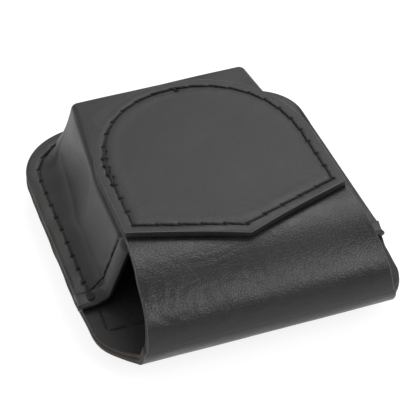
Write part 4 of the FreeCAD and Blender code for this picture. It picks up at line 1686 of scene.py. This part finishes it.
@dataclass
class BeltLoop:
    """Strap sewn to the back, with softly bent slopes."""

    finishes: Finishes
    tab: float = 6.0 * MM
    slope: float = 4.0 * MM
    inset: float = 1.7 * MM
    hide: float = 1.6 * MM

    def build(self) -> list[bpy.types.Object]:
        """Make the strap and its stitches.

        Returns:
            The pieces.
        """
        low, high = box_of("belt_loop")
        near, far, half = float(low[1]), float(high[1]), float(high[0])
        drop = float(high[2] - low[2]) - self.hide
        y = np.linspace(far, near, 170)
        from_end = np.minimum(y - near, far - y)
        level = drop * (1 - ease((from_end - self.tab + 0.4 * MM) / (self.slope + 0.8 * MM)))
        share = np.linspace(-1, 1, 81)
        x = half * share[None] * np.ones((len(y), 1))
        z = level[:, None] + float(low[2])
        face = np.stack([x, np.broadcast_to(y[:, None], x.shape), np.broadcast_to(z, x.shape)], -1)
        shape = face.shape[:2]
        sheet = Sheet(face, np.full(shape, self.hide), np.full(shape, 0.35), outward=1.0)
        if sheet.normal[..., 2].sum() > 0:
            sheet.outward = -1.0
            sheet.__post_init__()
        routes = []
        level_tab = float(high[2]) - self.hide
        for edge, step in ((near, 1), (far, -1)):
            right = half - self.inset
            near_y, far_y = edge + step * self.inset, edge + step * (self.tab - self.inset)
            ring = [[right, near_y], [-right, near_y], [-right, far_y], [right, far_y], [right, near_y]]
            routes += straight_runs(np.column_stack([ring, np.full(5, level_tab)]))
        seam = Seam.along(routes, [-UP] * len(routes))
        sheet.raise_by(pressed(face, seam, np.concatenate(routes)))
        strap = sheet.build("belt_strap")
        made = self.finishes
        dress(strap, Slot.LEATHER, made.creased, made.cut, made.flesh, made.worn)
        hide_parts("belt_loop")
        stitches = Thread(seed=71).sew("belt_stitches", seam, made)
        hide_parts("loop_seam")
        for piece in (strap, stitches):
            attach(piece, Rider.POUCH.value)
        return [strap, stitches]


@dataclass
class Closure:
    """Two hidden magnets, and the leather cap over the pocket's one."""

    finishes: Finishes
    spokes: int = 72

    def build(self) -> list[bpy.types.Object]:
        """Dress the magnets and make the cap.

        Returns:
            The new pieces.
        """
        for name in ("flap_magnet", "pocket_magnet"):
            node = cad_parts[name]
            node.data.materials.clear()
            node.data.materials.append(self.finishes.plating)
        low, high = box_of("magnet_patch")
        centre, radius = (low + high) / 2, float(high[0] - low[0]) / 2
        depth = float(high[2] - low[2])
        turn = np.linspace(0, 2 * np.pi, self.spokes, endpoint=False)
        reach = np.r_[np.linspace(0.02, 0.72, 12), np.linspace(0.76, 1.0, 10)]
        fall = depth * (1 - ease((reach - 0.70) / 0.26)) + 0.35 * MM * ease((reach - 0.6) / 0.3)
        fall = np.minimum(fall, depth)
        ring = np.stack([np.cos(turn), np.sin(turn)], -1)
        under = np.concatenate([
            centre[:2] + radius * reach[:, None, None] * ring[None],
            np.broadcast_to((float(high[2]) - fall)[:, None, None], (len(reach), self.spokes, 1)),
        ], -1)
        lid = under[-1] * np.array([1.0, 1.0, 0.0]) + np.array([0, 0, float(high[2])])
        points = np.concatenate([under.reshape(-1, 3), lid])
        numbers, quads = tube(len(reach) + 1, self.spokes)
        faces = [*quads.tolist(), numbers[0].tolist(), numbers[-1, ::-1].tolist()]
        cap = new_object("magnet_cap", points, faces, np.zeros(len(faces)))
        dress(cap, Slot.LINING, self.finishes.lining)
        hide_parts("magnet_patch")
        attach(cap, Rider.POUCH.value)
        return [cap]


# ---------------------------------------------------------------------------------------------
# Studio
# ---------------------------------------------------------------------------------------------
@dataclass(frozen=True)
class Camera:
    """Long lens above the pouch's near left corner."""

    azimuth: float = -18.608
    elevation: float = 40.059
    roll: float = -1.122
    distance: float = 357.75 * MM
    target: tuple[float, float, float] = (-1.294 * MM, -4.557 * MM, 14.88 * MM)
    lens: float = 128.12

    def place(self) -> None:
        """Make the camera and set it as the scene's."""
        a, e, r = (math.radians(v) for v in (self.azimuth, self.elevation, self.roll))
        back = Vector((math.sin(a) * math.cos(e), -math.cos(a) * math.cos(e), math.sin(e)))
        right = Vector((math.cos(a), math.sin(a), 0.0))
        up = back.cross(right)
        turned_right = right * math.cos(r) + up * math.sin(r)
        turned_up = up * math.cos(r) - right * math.sin(r)
        data = bpy.data.cameras.new("studio_camera")
        data.lens = self.lens
        data.sensor_width = 36.0
        data.clip_start = 0.01
        camera = bpy.data.objects.new("studio_camera", data)
        columns = Matrix((turned_right, turned_up, back)).transposed()
        stand = Matrix.Translation(Vector(self.target) + back * self.distance)
        camera.matrix_world = stand @ columns.to_4x4()
        bpy.context.scene.collection.objects.link(camera)
        bpy.context.scene.camera = camera


@dataclass(frozen=True)
class Studio:
    """White floor, an even pale surround and two large soft lights."""

    surround: float = 0.64
    floor_half: float = 2.0
    floor_shade: float = 0.34
    floor_glow: float = 0.82
    softboxes: tuple = (
        ("softbox_front", (0.26, -0.42, 0.52), 0.36, 1.55),
        ("softbox_back", (0.22, 0.34, 0.60), 0.34, 1.6),
    )

    def light(self, name: str, place: tuple, size: float, power: float) -> None:
        """Add a square light that points at the pouch.

        Args:
            name: Name of the light.
            place: Where it hangs.
            size: Length of its side.
            power: Its power in watts.
        """
        data = bpy.data.lights.new(name, "AREA")
        data.shape = "SQUARE"
        data.size = size
        data.energy = power
        lamp = bpy.data.objects.new(name, data)
        lamp.location = place
        lamp.rotation_euler = (Vector((0, 0, 0.01)) - Vector(place)).to_track_quat("-Z", "Y").to_euler()
        bpy.context.scene.collection.objects.link(lamp)

    def build(self) -> None:
        """Make the floor, the surround and the lights."""
        corners = np.array([[-1, -1], [1, -1], [1, 1], [-1, 1]]) * self.floor_half
        mesh = bpy.data.meshes.new("studio_floor")
        mesh.from_pydata(np.column_stack([corners, np.zeros(4)]).tolist(), [], [(0, 1, 2, 3)])
        floor = bpy.data.objects.new("studio_floor", mesh)
        bpy.context.scene.collection.objects.link(floor)
        paper = bpy.data.materials.new("studio_paper")
        paper.use_nodes = True
        shader = paper.node_tree.nodes["Principled BSDF"]
        shader.inputs["Base Color"].default_value = (*[self.floor_shade] * 3, 1.0)
        shader.inputs["Roughness"].default_value = 0.9
        shader.inputs["Specular IOR Level"].default_value = 0.1
        shader.inputs["Emission Color"].default_value = (1.0, 1.0, 1.0, 1.0)
        shader.inputs["Emission Strength"].default_value = self.floor_glow
        mesh.materials.append(paper)
        world = bpy.data.worlds.new("studio_surround")
        world.use_nodes = True
        world.node_tree.nodes["Background"].inputs["Color"].default_value = (1.0, 1.0, 1.0, 1.0)
        world.node_tree.nodes["Background"].inputs["Strength"].default_value = self.surround
        bpy.context.scene.world = world
        bpy.context.scene.view_settings.view_transform = "Standard"
        for softbox in self.softboxes:
            self.light(*softbox)


def main() -> None:
    """Build every sub-assembly in order, then the studio."""
    logging.basicConfig(level=logging.INFO, format="%(name)s: %(message)s")
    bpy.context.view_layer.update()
    finishes = Finishes.make()
    strip = Strip(finishes)
    layers = strip.build()
    strip.hang(layers)
    pieces = list(layers)
    pieces += Shield(finishes, strip).build()
    pocket = MouldedPocket(finishes, strip.outline)
    pieces += pocket.build()
    pieces += BackSeams(finishes, pocket).build()
    pieces += BeltLoop(finishes).build()
    pieces += Closure(finishes).build()
    for piece in pieces:
        log.info("%s: %d faces", piece.name, len(piece.data.polygons))
    Studio().build()
    Camera().place()


if __name__ == "__main__":
    main()
